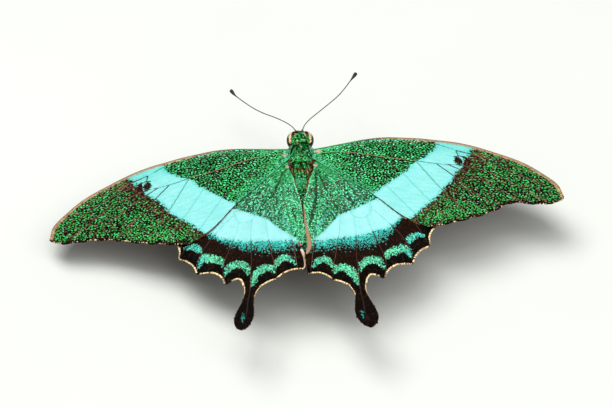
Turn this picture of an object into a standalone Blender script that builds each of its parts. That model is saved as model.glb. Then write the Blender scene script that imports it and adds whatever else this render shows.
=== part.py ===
"""Emerald swallowtail butterfly, wings spread, standing on six feet.

The named sizes are in millimetres and degrees, and MM turns them into Blender's metres.  x runs to
the butterfly's right, y towards its head and z up.  Heights are counted from the wing hinges, which
lie HINGE_Z above the floor.  At the end the whole insect is moved so that the origin is the middle
of its bounding box, on the floor.
"""
import math

import bmesh
import bpy
from mathutils import Vector

MM = 0.001

# ---------------------------------------------------------------- driving sizes
HINGE_Z = 11.5
WING_THICK = 0.5
BODY_X = -0.08                      # middle of the body, a little beside the middle of the hinges

# each wing: hinge (x out, y, z), then sweep back, droop of the tip and twist
FORE_HINGE, FORE_TURN = (2.9, 1.2, 0.0), {1: (13.3, 3.3, -2.5), -1: (18.9, 10.4, -3.1)}
HIND_HINGE, HIND_TURN = (2.7, -1.6, -0.5), {1: (-0.4, 4.8, -0.4), -1: (0.4, 12.6, -1.6)}

# wing outlines: u out from the hinge, v towards the tail
FORE_COSTA = [(-0.3, -0.7), (5.0, -4.1), (10.0, -7.1), (15.0, -8.6), (20.5, -9.5), (26.0, -9.8),
              (31.4, -9.0), (37.0, -7.5), (41.0, -5.4), (44.3, -2.9), (46.1, 0.2)]
FORE_DORSUM = [(-0.1, 1.9), (4.8, 4.6), (8.6, 6.9), (13.5, 9.8), (18.9, 13.7), (23.6, 15.4)]
FORE_TERMEN = [(46.1, 0.2), (45.6, 1.5), (43.6, 3.0), (40.4, 4.2), (36.8, 6.0), (33.2, 8.8),
               (29.8, 11.5), (26.6, 13.7), (23.6, 15.4)]
FORE_SCALLOPS, FORE_SCALLOP_DEPTH = 8, 0.28
HOLLOW_DEPTH = {1: 1.1, -1: 0.0}    # the right outer edge is drawn in below the tip
HOLLOW_PLACE, HOLLOW_WIDTH = 0.37, 0.11
FORE_DOME = 0.7

HIND_COSTA = [(-0.3, -0.6), (5.0, -1.0), (12.0, 1.4), (17.5, 6.0), (20.6, 11.5), (21.0, 15.5)]
HIND_INNER = [(-0.3, 1.3), (-1.2, 4.0), (-1.65, 6.2), (-2.15, 8.5), (-2.5, 10.8), (-2.5, 17.0),
              (-2.5, 24.0), (-2.35, 29.2)]
INNER_LEAN, LEAN_START, LEAN_END = 0.65, 9.0, 22.0    # both inner edges lean to the right there
# teeth of the hind margin, each with the depth of the hollow that follows it
HIND_TEETH = [((21.0, 15.5), 0.7), ((19.6, 20.7), 0.8), ((16.3, 25.65), 1.55), ((11.15, 29.6), 1.75),
              ((7.8, 31.0), 0.0), ((4.9, 31.5), 0.2), ((2.2, 30.4), 1.0), ((-2.35, 29.2), 0.0)]
CELL_STEPS = 4                      # grid columns from tooth to tooth
TAIL_TOOTH = 4                      # the tail grows between this tooth and the next
TAIL = [(6.35, 31.3, 1.45), (6.8, 33.2, 1.05), (7.2, 35.4, 1.2), (7.65, 37.6, 1.7), (8.0, 39.6, 1.8),
        (8.2, 41.0, 1.25), (8.3, 41.8, 0.45)]         # u, v and half width
HIND_DOME = 0.5

# soft body pieces from front to back: y, height of the middle, half width, half height
HEAD = [(9.15, -2.4, 0.0, 0.0), (8.9, -2.4, 0.85, 1.15), (8.4, -2.35, 1.12, 1.6), (7.5, -2.35, 1.2, 1.85),
        (6.5, -2.3, 1.2, 1.75), (5.7, -2.15, 1.1, 1.45), (5.35, -2.0, 0.0, 0.0)]
NECK = [(5.05, -2.1, 0.0, 0.0), (4.95, -2.1, 0.75, 0.8), (4.6, -2.1, 0.75, 0.8), (4.5, -2.1, 0.0, 0.0)]
THORAX = [(4.2, -2.1, 0.0, 0.0), (3.95, -2.1, 1.6, 1.5), (3.2, -2.05, 2.35, 2.4), (2.0, -1.95, 2.6, 2.95),
          (0.4, -1.9, 2.65, 3.2), (-1.2, -1.95, 2.55, 3.1), (-2.2, -2.0, 2.35, 2.8),
          (-3.0, -2.1, 2.05, 2.35), (-3.7, -2.15, 1.5, 1.6), (-3.9, -2.2, 0.0, 0.0)]
ABDOMEN = [(-4.2, -2.3, 0.0, 0.0), (-4.6, -2.35, 1.5, 1.45), (-6.0, -2.5, 1.9, 1.85),
           (-8.5, -2.9, 2.15, 2.1), (-11.5, -3.6, 2.15, 2.1), (-14.5, -4.5, 1.9, 1.85),
           (-17.0, -5.3, 1.45, 1.4), (-19.0, -5.9, 0.9, 0.9), (-20.0, -6.2, 0.0, 0.0)]
SQUARENESS = 2.25                   # 2 is an oval section, more is squarer

EYE_BACK, EYE_POLE = 1.5, 2.55      # flat back and pole of the eye, out from the middle of the body
EYE_Y, EYE_Z, EYE_LONG, EYE_HIGH = 7.45, -2.35, 1.5, 1.75

ANTENNA = {1: [(0.2, 8.95, -0.3), (0.9, 10.7, -0.7), (3.7, 14.3, -0.9), (7.5, 18.9, -0.8),
               (10.0, 23.4, -0.7), (11.0, 25.4, -0.7)],
           -1: [(-0.9, 8.95, -0.3), (-2.3, 11.5, -1.3), (-5.7, 14.5, -1.9), (-9.2, 17.5, -2.4),
                (-12.3, 21.6, -2.9), (-13.3, 23.7, -3.2)]}
FEELER_HALF, CLUB_HALF, CLUB_SHARE = 0.25, 0.36, 0.12

PALP = [(0.55, 8.85, -4.35), (0.6, 9.55, -3.65), (0.5, 9.75, -2.6)]
PALP_HALF = [0.34, 0.26]

COIL_Y, COIL_Z, COIL_RADIUS, COIL_PITCH, COIL_TURNS = 7.9, -6.05, 1.3, 0.82, 1.3

# hip, knee, ankle, heel, ball and toe: x out from the body, y and height above the floor
LEGS = {"fore": [(1.3, 2.9, 6.2), (4.6, 5.4, 7.2), (6.2, 8.3, 2.4), (6.8, 9.5, 0.4), (7.1, 10.4, 0.16),
                 (7.6, 12.0, 0.16)],
        "mid": [(1.6, 0.3, 6.0), (6.6, -0.5, 7.3), (9.4, -1.5, 2.4), (10.6, -1.9, 0.4),
                (11.5, -2.2, 0.16), (13.1, -2.8, 0.16)],
        "hind": [(1.5, -1.9, 6.3), (5.0, -6.6, 7.4), (6.9, -12.0, 2.5), (7.5, -13.7, 0.4),
                 (7.8, -14.8, 0.16), (8.3, -16.8, 0.16)]}
LEG_HALF = [0.55, 0.4, 0.33, 0.3, 0.26, 0.26]

# colour, roughness and metallic value of each finish
FINISHES = {"body_scales": ((0.02, 0.17, 0.06), 0.7, 0.0), "wing_scales": ((0.03, 0.32, 0.27), 0.5, 0.0),
            "eyes": ((0.02, 0.012, 0.01), 0.15, 0.0), "chitin": ((0.03, 0.022, 0.015), 0.45, 0.0)}


# ---------------------------------------------------------------- curves
def along(points, share):
    """Point at a share, 0 to 1, of the smooth line through the points (Hermite spans, chord timing)."""
    points = [Vector(p) for p in points]
    spans = [(b - a).length for a, b in zip(points, points[1:])]
    left, k = max(0.0, min(1.0, share)) * sum(spans), 0
    while k < len(spans) - 1 and left > spans[k]:
        left -= spans[k]
        k += 1
    s, start, end = left / spans[k], points[k], points[k + 1]
    leave = arrive = end - start
    if k > 0:
        leave = (end - points[k - 1]) * spans[k] / (spans[k] + spans[k - 1])
    if k < len(spans) - 1:
        arrive = (points[k + 2] - start) * spans[k] / (spans[k] + spans[k + 1])
    return ((2 * s ** 3 - 3 * s ** 2 + 1) * start + (s ** 3 - 2 * s ** 2 + s) * leave
            + (3 * s ** 2 - 2 * s ** 3) * end + (s ** 3 - s ** 2) * arrive)


def between(values, share):
    """Value at a share, 0 to 1, of evenly spaced values, straight between them."""
    place = max(0.0, min(1.0, share)) * (len(values) - 1)
    k = min(int(place), max(0, len(values) - 2))
    return values[k] + (values[min(k + 1, len(values) - 1)] - values[k]) * (place - k)


def smooth_step(low, high, x):
    """0 below low, 1 above high, smooth between."""
    s = max(0.0, min(1.0, (x - low) / (high - low)))
    return s * s * (3 - 2 * s)


# ---------------------------------------------------------------- objects
def finish(name):
    """Principled material of the named finish, made once."""
    if name in bpy.data.materials:
        return bpy.data.materials[name]
    colour, roughness, metallic = FINISHES[name]
    material = bpy.data.materials.new(name)
    material.use_nodes = True
    shader = material.node_tree.nodes["Principled BSDF"]
    shader.inputs["Base Color"].default_value = (*colour, 1.0)
    shader.inputs["Roughness"].default_value = roughness
    shader.inputs["Metallic"].default_value = metallic
    return material


def add(name, data, slot, place=(0, 0, 0)):
    """Object in the butterfly's collection, hung on its root at a place given in millimetres."""
    data.materials.append(finish(slot))
    obj = bpy.data.objects.new(name, data)
    bpy.data.collections["emerald_swallowtail"].objects.link(obj)
    obj.parent = bpy.data.objects["hinges"]
    obj.location = Vector(place) * MM
    return obj


def mesh_of(name, bm):
    """Smooth-shaded mesh from a bmesh in millimetres."""
    bmesh.ops.scale(bm, vec=(MM, MM, MM), verts=bm.verts)
    mesh = bpy.data.meshes.new(name)
    bm.to_mesh(mesh)
    bm.free()
    mesh.shade_smooth()
    mesh.set_sharp_from_angle(angle=math.radians(50))
    return mesh


def cut_flat(bm, place, normal):
    """Cut away what lies behind a plane and close the cut."""
    bmesh.ops.bisect_plane(bm, geom=bm.verts[:] + bm.edges[:] + bm.faces[:], dist=1e-5, plane_co=place,
                           plane_no=normal, clear_inner=True)
    bmesh.ops.holes_fill(bm, edges=[e for e in bm.edges if e.is_boundary])


# ---------------------------------------------------------------- body
def trunk(name, stations, around=20, rings=16):
    """Soft body piece: a sphere whose rings are moved to the stations, with squarish oval sections."""
    bm = bmesh.new()
    bmesh.ops.create_uvsphere(bm, u_segments=around, v_segments=rings, radius=1)
    for v in bm.verts:
        share = math.acos(max(-1.0, min(1.0, v.co.z))) / math.pi
        y, z, wide, high = along(stations, share)
        angle = math.atan2(v.co.y, v.co.x)
        c, s = math.cos(angle), math.sin(angle)
        reach = (abs(c) ** SQUARENESS + abs(s) ** SQUARENESS) ** (-1 / SQUARENESS)
        v.co = (wide * reach * c, y, z + high * reach * s)
    bmesh.ops.reverse_faces(bm, faces=bm.faces)      # the sphere's axis has been laid along y
    return add(name, mesh_of(name, bm), "body_scales", (BODY_X, 0, 0))


def eye(name, side):
    """Domed eye: half of a sphere, cut flat at its back, stretched to the eye's size."""
    bm = bmesh.new()
    bmesh.ops.create_uvsphere(bm, u_segments=18, v_segments=12, radius=1)
    cut_flat(bm, (0, 0, 0), (side, 0, 0))
    bmesh.ops.scale(bm, vec=(EYE_POLE - EYE_BACK, EYE_LONG, EYE_HIGH), verts=bm.verts)
    bmesh.ops.recalc_face_normals(bm, faces=bm.faces)
    return add(name, mesh_of(name, bm), "eyes", (BODY_X + side * EYE_BACK, EYE_Y, EYE_Z))


# ---------------------------------------------------------------- wings
def blade_point(lead, trail, outer, a, b):
    """Four-sided patch: a from leading to trailing edge, b from root to margin."""
    sides = lead(b) * (1 - a) + trail(b) * a
    ends = (lead(0) * (1 - a) + trail(0) * a) * (1 - b) + outer(a) * b
    corners = (lead(0) * (1 - a) + trail(0) * a) * (1 - b) + (outer(0) * (1 - a) + outer(1) * a) * b
    return sides + ends - corners


def grid(bm, columns, rows, place, side):
    """Grid of quads whose unit square is moved by place(a, b), which gives u, v and lift."""
    made = bmesh.ops.create_grid(bm, x_segments=columns, y_segments=rows, size=0.5)
    for vert in made["verts"]:
        u, v, lift = place(vert.co.x + 0.5, vert.co.y + 0.5)
        vert.co = (side * u, -v, lift)


def wing(name, bm, hinge, turn, side):
    """Wing plate of even thickness, turned about its hinge: sweep first, then twist, then droop."""
    bmesh.ops.remove_doubles(bm, verts=bm.verts, dist=0.001)
    bmesh.ops.recalc_face_normals(bm, faces=bm.faces)
    obj = add(name, mesh_of(name, bm), "wing_scales", (side * hinge[0], hinge[1], hinge[2]))
    sweep, droop, twist = (math.radians(angle) for angle in turn)
    obj.rotation_mode = "ZXY"
    obj.rotation_euler = (twist, side * droop, -side * sweep)
    plate = obj.modifiers.new("plate", "SOLIDIFY")
    plate.thickness = WING_THICK * MM
    plate.offset = 0
    return obj


def dome(height, a, b):
    """Gentle rise of a wing between its edges."""
    return height * math.sin(math.pi * a) * math.sin(math.pi * b)


def forewing(name, side):
    """Long forewing with a faintly scalloped outer edge."""
    tip, corner = Vector(FORE_TERMEN[0]), Vector(FORE_TERMEN[-1])
    way = (corner - tip).normalized()
    inward = Vector((-way.y, way.x))

    def outer(a):
        hollow = HOLLOW_DEPTH[side] * math.exp(-((a - HOLLOW_PLACE) / HOLLOW_WIDTH) ** 2)
        scallop = FORE_SCALLOP_DEPTH * abs(math.sin(math.pi * a * FORE_SCALLOPS))
        return along(FORE_TERMEN, a) + inward * (hollow + scallop)

    def place(a, b):
        u, v = blade_point(lambda s: along(FORE_COSTA, s), lambda s: along(FORE_DORSUM, s), outer, a, b)
        return u, v, dome(FORE_DOME, a, b)

    bm = bmesh.new()
    grid(bm, 2 * FORE_SCALLOPS, 13, place, side)
    return wing(name, bm, FORE_HINGE, FORE_TURN[side], side)


def hindwing(name, side):
    """Fan-shaped hindwing with a toothed margin and a spoon-ended tail."""
    cells = len(HIND_TEETH) - 1

    def inner(b):
        u, v = along(HIND_INNER, b)
        return Vector((u + side * INNER_LEAN * smooth_step(LEAN_START, LEAN_END, v), v))

    def outer(a):
        k = min(int(a * cells + 1e-6), cells - 1)
        start, depth = HIND_TEETH[k]
        start, end = Vector(start), Vector(HIND_TEETH[k + 1][0])
        if k == cells - 1:
            end = inner(1)
        way, share = (end - start).normalized(), a * cells - k
        bow = max(0.0, math.sin(math.pi * share)) ** 0.8
        return start.lerp(end, share) + Vector((-way.y, way.x)) * depth * bow

    def place(a, b):
        u, v = blade_point(lambda s: along(HIND_COSTA, s), inner, outer, a, b)
        return u, v, dome(HIND_DOME, a, b)

    def tail(across, down):
        if down < 1e-6:
            u, v = outer((TAIL_TOOTH + across) / cells)
            return u, v, 0
        u, v, half = along(TAIL, down)
        ahead, behind = along(TAIL, down + 0.02), along(TAIL, down - 0.02)
        way = (ahead - behind).xy.normalized()
        return u + way.y * half * (1 - 2 * across), v - way.x * half * (1 - 2 * across), 0

    bm = bmesh.new()
    grid(bm, CELL_STEPS * cells, 10, place, side)
    grid(bm, CELL_STEPS, 11, tail, side)
    return wing(name, bm, HIND_HINGE, HIND_TURN[side], side)


# ---------------------------------------------------------------- rods
def rod(name, points, halves, steps, slot="chitin", floor=None):
    """Rod of changing thickness on a smooth line, with closed ends, cut flat at the floor if it has one."""
    start = Vector(points[0])
    curve = bpy.data.curves.new(name, "CURVE")
    curve.dimensions = "3D"
    curve.bevel_depth = MM
    curve.bevel_resolution = 2
    curve.use_fill_caps = True
    spline = curve.splines.new("POLY")
    spline.points.add(steps)
    for i, point in enumerate(spline.points):
        share = i / steps
        point.co = (*((along(points, share) - start) * MM), 1)
        point.radius = between(halves, share)
    obj = add(name, curve, slot, start)
    bpy.context.view_layer.update()
    mesh = bpy.data.meshes.new_from_object(obj.evaluated_get(bpy.context.evaluated_depsgraph_get()))
    bpy.data.objects.remove(obj, do_unlink=True)
    bm = bmesh.new()
    bm.from_mesh(mesh)
    bmesh.ops.remove_doubles(bm, verts=bm.verts, dist=0.001 * MM)
    bmesh.ops.scale(bm, vec=(1 / MM, 1 / MM, 1 / MM), verts=bm.verts)
    if floor is not None:
        cut_flat(bm, (0, 0, floor - start.z), (0, 0, 1))
    bmesh.ops.recalc_face_normals(bm, faces=bm.faces)
    return add(name, mesh_of(name, bm), slot, start)


def antenna(name, side):
    """Thin feeler that thickens to a club at its end."""
    steps = 18
    halves = []
    for i in range(steps + 1):
        from_tip = (1 - i / steps) / CLUB_SHARE
        swell = math.sin(math.pi * from_tip ** 0.7) if from_tip < 1 else 0
        halves.append(FEELER_HALF + (CLUB_HALF - FEELER_HALF) * swell)
    return rod(name, ANTENNA[side], halves, steps)


def proboscis(name):
    """Rolled tongue under the face: a rod on a tightening spiral."""
    points = []
    for k in range(17):
        turn = COIL_TURNS * k / 16
        radius, angle = COIL_RADIUS - COIL_PITCH * turn, 2 * math.pi * (0.2 - turn)
        points.append((BODY_X, COIL_Y + radius * math.cos(angle), COIL_Z + radius * math.sin(angle)))
    return rod(name, points, [FEELER_HALF], 26)


def palp(name, side):
    """Short scaly palp that curves up before the face."""
    points = [(BODY_X + side * x, y, z) for x, y, z in PALP]
    return rod(name, points, PALP_HALF, 5, "body_scales")


def leg(name, pair, side):
    """Leg from hip to toe, its foot cut flat on the floor."""
    points = [(BODY_X + side * x, y, z - HINGE_Z) for x, y, z in LEGS[pair]]
    return rod(name, points, LEG_HALF, 16, floor=-HINGE_Z)


# ---------------------------------------------------------------- the whole insect
def centre_on_floor(root):
    """Move the root so that the origin is the middle of the bounding box, on the floor."""
    bpy.context.view_layer.update()
    view = bpy.context.evaluated_depsgraph_get()
    corners = []
    for obj in bpy.data.collections["emerald_swallowtail"].objects:
        if obj.type == "MESH":
            shown = obj.evaluated_get(view)
            corners += [shown.matrix_world @ v.co for v in shown.data.vertices]
    low = [min(c[k] for c in corners) for k in range(3)]
    high = [max(c[k] for c in corners) for k in range(3)]
    root.location -= Vector(((low[0] + high[0]) / 2, (low[1] + high[1]) / 2, low[2]))


def build():
    """Make every piece of the butterfly."""
    for obj in list(bpy.data.objects):
        bpy.data.objects.remove(obj, do_unlink=True)
    collection = bpy.data.collections.new("emerald_swallowtail")
    bpy.context.scene.collection.children.link(collection)
    root = bpy.data.objects.new("hinges", None)
    root.location.z = HINGE_Z * MM
    collection.objects.link(root)

    trunk("head", HEAD)
    trunk("neck", NECK, 12, 6)
    trunk("thorax", THORAX)
    trunk("abdomen", ABDOMEN)
    proboscis("proboscis")
    for side, word in ((-1, "left"), (1, "right")):
        eye("eye_" + word, side)
        antenna("antenna_" + word, side)
        palp("palp_" + word, side)
        forewing("forewing_" + word, side)
        hindwing("hindwing_" + word, side)
        for pair in LEGS:
            leg("leg_" + pair + "_" + word, pair, side)
    centre_on_floor(root)


build()
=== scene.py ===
"""Emerald swallowtail butterfly: skin, wing membranes, scales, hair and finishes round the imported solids.

All sizes are in millimetres until place() turns them into metres.  x runs to the butterfly's right, y
towards its head and z up, counted from the middle of the wing hinges, as in the source of the solids.
"""
import math

import bmesh
import bpy
import numpy as np
from mathutils import Euler, Matrix, Vector


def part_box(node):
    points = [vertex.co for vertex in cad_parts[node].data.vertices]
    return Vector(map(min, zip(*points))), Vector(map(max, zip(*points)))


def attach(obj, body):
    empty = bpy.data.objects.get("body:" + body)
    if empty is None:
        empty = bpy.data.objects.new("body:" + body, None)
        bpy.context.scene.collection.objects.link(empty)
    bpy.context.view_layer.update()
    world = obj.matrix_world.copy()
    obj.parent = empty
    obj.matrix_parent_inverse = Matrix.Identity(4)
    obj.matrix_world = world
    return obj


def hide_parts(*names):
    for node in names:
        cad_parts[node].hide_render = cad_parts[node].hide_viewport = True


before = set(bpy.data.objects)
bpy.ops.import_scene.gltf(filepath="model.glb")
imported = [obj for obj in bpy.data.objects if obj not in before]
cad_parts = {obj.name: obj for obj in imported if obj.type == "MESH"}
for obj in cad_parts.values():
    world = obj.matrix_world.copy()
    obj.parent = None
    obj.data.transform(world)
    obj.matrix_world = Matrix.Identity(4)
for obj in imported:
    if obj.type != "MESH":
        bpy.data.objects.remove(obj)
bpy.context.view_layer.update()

MM = 0.001
HINGE_Z = 11.5                      # height of the wing hinges above the floor
BODY_X = -0.08                      # x of the body's middle
THORAX_FRONT = 4.2                  # y of the front of the thorax
low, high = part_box("thorax")
ORIGIN = np.array([(low.x + high.x) / 2 / MM - BODY_X, high.y / MM - THORAX_FRONT, HINGE_Z])
BAKE_PATCH = 0.003                  # width of one scale's or hair's patch on the bake map
SIDES = {-1: "left", 1: "right"}
HEAD_Y, WAIST_Y = 5.0, -4.2         # where the head begins and where the thorax ends
MEMBRANE = 0.12                     # thickness of the wing skin
UPPER_LIFT, UNDER_LIFT = 0.075, 0.12        # of the scales' roots above and below the middle of the skin
SCALE_STEP = {"fore": (0.245, 0.19), "hind": (0.235, 0.15)}     # between rows of scales and within a row
UNDER_STEP, TAIL_STEP = (0.42, 0.32), (0.28, 0.22)              # the same below, and at most on the tails
SCALE_LENGTH, SCALE_WIDTH = 1.75, 1.45                          # of a scale on the wing, in these steps
COAT_SCALES, LOCKS, LOCK_SCALES = 22000, 4600, 8                # of the body; scales in one lock
RIM_SCALES, PLATE_SCALES, INNER_HAIRS, PALP_HAIRS = 2300, 1700, 900, 420       # on each side
WING_BOX = {"fore": ((-1.2, -10.2), (47.9, 27.0)), "hind": ((-3.6, -1.8), (25.4, 44.5))}    # low corner, span

# ---------------------------------------------------------------- sizes, nearly all as in the solids
# where each pair of wings is hinged, and the sweep, droop and twist of each wing in degrees
FORE_HINGE, FORE_TURN = (2.9, 1.2, 0.0), {1: (13.3, 3.3, -2.5), -1: (18.9, 10.4, -3.1)}
HIND_HINGE, HIND_TURN = (2.7, -1.6, -0.5), {1: (-0.4, 4.8, -0.4), -1: (0.4, 12.6, -1.6)}
# edges of a wing in u and v: in front, behind and outside
FORE_COSTA = [(-1.0, -0.1), (-0.3, -0.7), (5.0, -4.1), (10.0, -7.1), (15.0, -8.6), (20.5, -9.5), (26.0, -9.8),
              (31.4, -9.0), (37.0, -7.5), (41.0, -5.4), (44.3, -2.9), (46.1, 0.2)]
FORE_DORSUM = [(-0.7, 1.6), (4.8, 4.6), (8.6, 6.9), (13.5, 9.8), (18.9, 13.7), (23.6, 15.4)]
FORE_TERMEN = [(46.1, 0.2), (45.6, 1.5), (43.6, 3.0), (40.4, 4.2), (36.8, 6.0), (33.2, 8.8),
               (29.8, 11.5), (26.6, 13.7), (23.6, 15.4)]
FORE_SCALLOPS, FORE_SCALLOP_DEPTH = 8, 0.28
# the hollow of the right forewing's outer edge, its place and width as shares of the edge
HOLLOW_DEPTH, HOLLOW_PLACE, HOLLOW_WIDTH = {1: 1.1, -1: 0.0}, 0.37, 0.11
FORE_DOME, HIND_DOME = 0.7, 0.5
HIND_COSTA = [(-0.3, -0.6), (5.0, -1.0), (12.0, 1.4), (17.5, 6.0), (20.6, 11.5), (21.0, 15.5)]
HIND_INNER = [(-0.3, 1.3), (-1.12, 4.0), (-1.5, 6.2), (-1.95, 8.5), (-2.42, 10.8), (-2.5, 17.0),
              (-2.5, 24.0), (-2.35, 29.2)]
INNER_LEAN, LEAN_START, LEAN_END = {1: 0.1, -1: -0.65}, 9.0, 22.0      # of the inner edge, between two v
# teeth of the hindwing's outer edge, each with the depth of the hollow after it
HIND_TEETH = [((21.0, 15.5), 0.7), ((19.6, 20.7), 0.8), ((16.3, 25.65), 1.55), ((11.15, 29.6), 1.75),
              ((7.8, 31.0), 0.0), ((4.9, 31.5), 0.2), ((2.2, 30.4), 1.0), ((-2.35, 29.2), 0.0)]
HIND_CELLS, TAIL_TOOTH = len(HIND_TEETH) - 1, 4
# middle line of each tail with its half width; the solids have one shape for both, nearly the right one's
TAIL = {1: [(6.35, 31.3, 1.4), (6.8, 33.2, 0.95), (7.15, 35.2, 1.2), (7.52, 37.6, 1.76), (7.9, 39.3, 1.8),
            (8.1, 40.5, 1.45), (8.25, 41.3, 0.8), (8.3, 41.6, 0.3)],
        -1: [(6.35, 31.3, 1.4), (6.8, 33.2, 0.9), (7.2, 35.2, 1.0), (7.65, 37.6, 1.48), (8.0, 39.4, 1.6),
             (8.17, 40.5, 1.34), (8.28, 41.3, 0.8), (8.3, 41.6, 0.3)]}
# x, y and z along the feelers
ANTENNA = {1: [(0.24, 8.5, -1.1), (0.84, 10.3, -0.95), (1.9, 12.0, -0.9), (3.7, 14.2, -0.9),
               (7.5, 18.9, -0.8), (10.0, 23.4, -0.7), (11.0, 25.4, -0.7)],
           -1: [(-0.76, 8.45, -1.1), (-1.41, 9.9, -1.2), (-2.38, 11.3, -1.4), (-4.37, 13.3, -1.75),
                (-7.1, 15.4, -2.1), (-9.2, 17.5, -2.4), (-12.3, 21.6, -2.9), (-13.3, 23.7, -3.2)]}
# centre and half sizes of an eye, points of a palp, and the rolled tongue
EYE = (1.25, 7.45, -2.35, 1.3, 1.5, 1.74)
PALP = [(0.55, 8.75, -4.35), (0.6, 9.5, -3.65), (0.5, 9.75, -2.7)]
COIL_Y, COIL_Z, COIL_RADIUS, COIL_PITCH, COIL_TURNS = 7.9, -6.05, 1.3, 0.82, 1.3
# x, y and height above the floor along each leg
LEGS = {"fore": [(1.3, 2.9, 6.2), (4.6, 5.4, 7.2), (6.2, 8.3, 2.4), (6.8, 9.5, 0.4), (7.1, 10.4, 0.16),
                 (7.6, 12.0, 0.16)],
        "mid": [(1.6, 0.3, 6.0), (6.6, -0.5, 7.3), (9.4, -1.5, 2.4), (10.6, -1.9, 0.4),
                (11.5, -2.2, 0.16), (13.1, -2.8, 0.16)],
        "hind": [(1.5, -1.9, 6.3), (5.0, -6.6, 7.4), (6.9, -12.0, 2.5), (7.5, -13.7, 0.4),
                 (7.8, -14.8, 0.16), (8.3, -16.8, 0.16)]}

# ---------------------------------------------------------------- markings
# u runs outwards and v rearwards from the wing's hinge
# the turquoise band of the forewing: v, inner edge u, outer edge u
FORE_BAND = {1: [(-9.5, 20.8, 27.5), (-6.5, 20.6, 27.2), (-3.2, 19.6, 27.0), (-1.0, 17.8, 25.8),
                 (1.5, 17.0, 25.6), (4.4, 15.1, 24.5), (7.2, 13.4, 23.5), (10.3, 11.4, 22.0),
                 (14.0, 9.0, 20.0)],
             -1: [(-9.5, 21.2, 28.4), (-6.5, 21.1, 27.5), (-3.2, 19.6, 27.3), (-1.0, 17.8, 26.1),
                  (1.5, 17.1, 25.0), (4.9, 15.2, 24.2), (7.5, 13.8, 23.3), (10.0, 12.0, 21.9),
                  (14.0, 9.5, 20.2)]}
# the band of the hindwing: u, inner edge v, outer edge v, end of the fading dust v
HIND_BAND = {1: [(-2.5, 22.6, 21.0, 23.4), (-0.9, 20.4, 20.9, 23.4), (1.0, 18.0, 20.6, 23.3),
                 (3.6, 14.1, 20.0, 22.7), (6.8, 11.9, 19.4, 22.6), (8.9, 10.3, 18.5, 22.0),
                 (12.1, 8.2, 16.9, 19.9), (14.2, 6.6, 14.6, 15.6), (16.5, 5.0, 11.0, 12.0),
                 (20.0, 3.0, 6.0, 8.0)],
             -1: [(-2.5, 22.4, 21.6, 24.1), (-1.2, 20.6, 21.4, 24.0), (1.0, 17.9, 21.0, 23.9),
                  (3.6, 14.5, 20.5, 23.6), (6.9, 12.0, 19.7, 22.6), (9.4, 10.3, 18.9, 21.3),
                  (12.1, 8.4, 17.6, 18.8), (14.3, 6.8, 15.1, 16.6), (16.5, 5.0, 11.0, 13.0),
                  (20.0, 3.0, 6.0, 8.0)]}
# the crescents along the hind margin: u, v and half width of each stroke
LUNULES = [[(-1.3, 27.5, 0.25), (-0.5, 26.0, 0.65), (0.7, 25.35, 0.75), (1.7, 26.2, 0.7), (2.2, 27.2, 0.3)],
           [(2.5, 28.9, 0.25), (2.9, 27.6, 0.65), (4.3, 27.35, 0.9), (5.7, 28.7, 0.8), (6.4, 31.3, 0.3)],
           [(7.0, 28.2, 0.25), (7.5, 26.3, 0.7), (8.8, 25.2, 0.9), (10.2, 25.3, 0.9), (11.2, 27.2, 0.3)],
           [(11.7, 24.6, 0.3), (12.3, 23.2, 0.8), (13.6, 22.5, 0.95), (15.2, 21.8, 1.0), (16.1, 23.8, 0.3)],
           [(15.9, 20.2, 0.3), (16.2, 19.2, 0.7), (17.2, 18.2, 0.75), (18.4, 18.1, 0.5)]]
FORE_VEINS = {"radius": [(0.5, -0.5), (6.0, -3.6), (12.0, -6.2), (17.0, -7.7), (20.9, -8.4), (24.9, -7.3)],
              "radius_end": [(24.9, -7.3), (28.5, -6.9), (35.0, -6.3), (43.9, -2.9)],
              "radius_fork": [(27.0, -7.1), (31.0, -7.6), (37.0, -7.0)],
              "cubitus": [(0.9, 0.1), (4.2, -0.9), (8.4, -1.1), (12.4, -1.2), (17.0, -1.5), (22.0, -1.9),
                          (26.1, -3.0)],
              "cross": [(24.9, -7.3), (25.6, -5.5), (26.1, -3.0)],
              "media_1": [(25.5, -5.6), (34.0, -4.7), (45.0, -0.7)],
              "media_2": [(26.1, -3.0), (33.0, -2.2), (43.4, 2.6)],
              "media_3": [(24.2, -2.4), (30.0, -0.3), (39.6, 4.2)],
              "cubitus_1": [(22.2, -1.8), (25.2, 0.3), (29.0, 3.2), (34.9, 7.0)],
              "cubitus_2": [(18.4, -1.4), (21.4, 1.9), (24.0, 4.7), (30.6, 10.6)],
              "cubitus_3": [(11.1, -1.2), (16.3, 2.3), (19.2, 5.2), (22.6, 8.5), (27.2, 13.0)],
              "anal": [(0.5, 1.0), (6.0, 2.8), (11.0, 4.6), (14.7, 6.9), (17.5, 9.6), (20.1, 12.0),
                       (22.8, 14.6)]}
BOLD_VEINS = ("radius_end", "radius_fork", "cross", "media_1", "media_2", "media_3", "cubitus_1")
DARK_IN_BAND = (*BOLD_VEINS, "cubitus", "radius")
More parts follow.
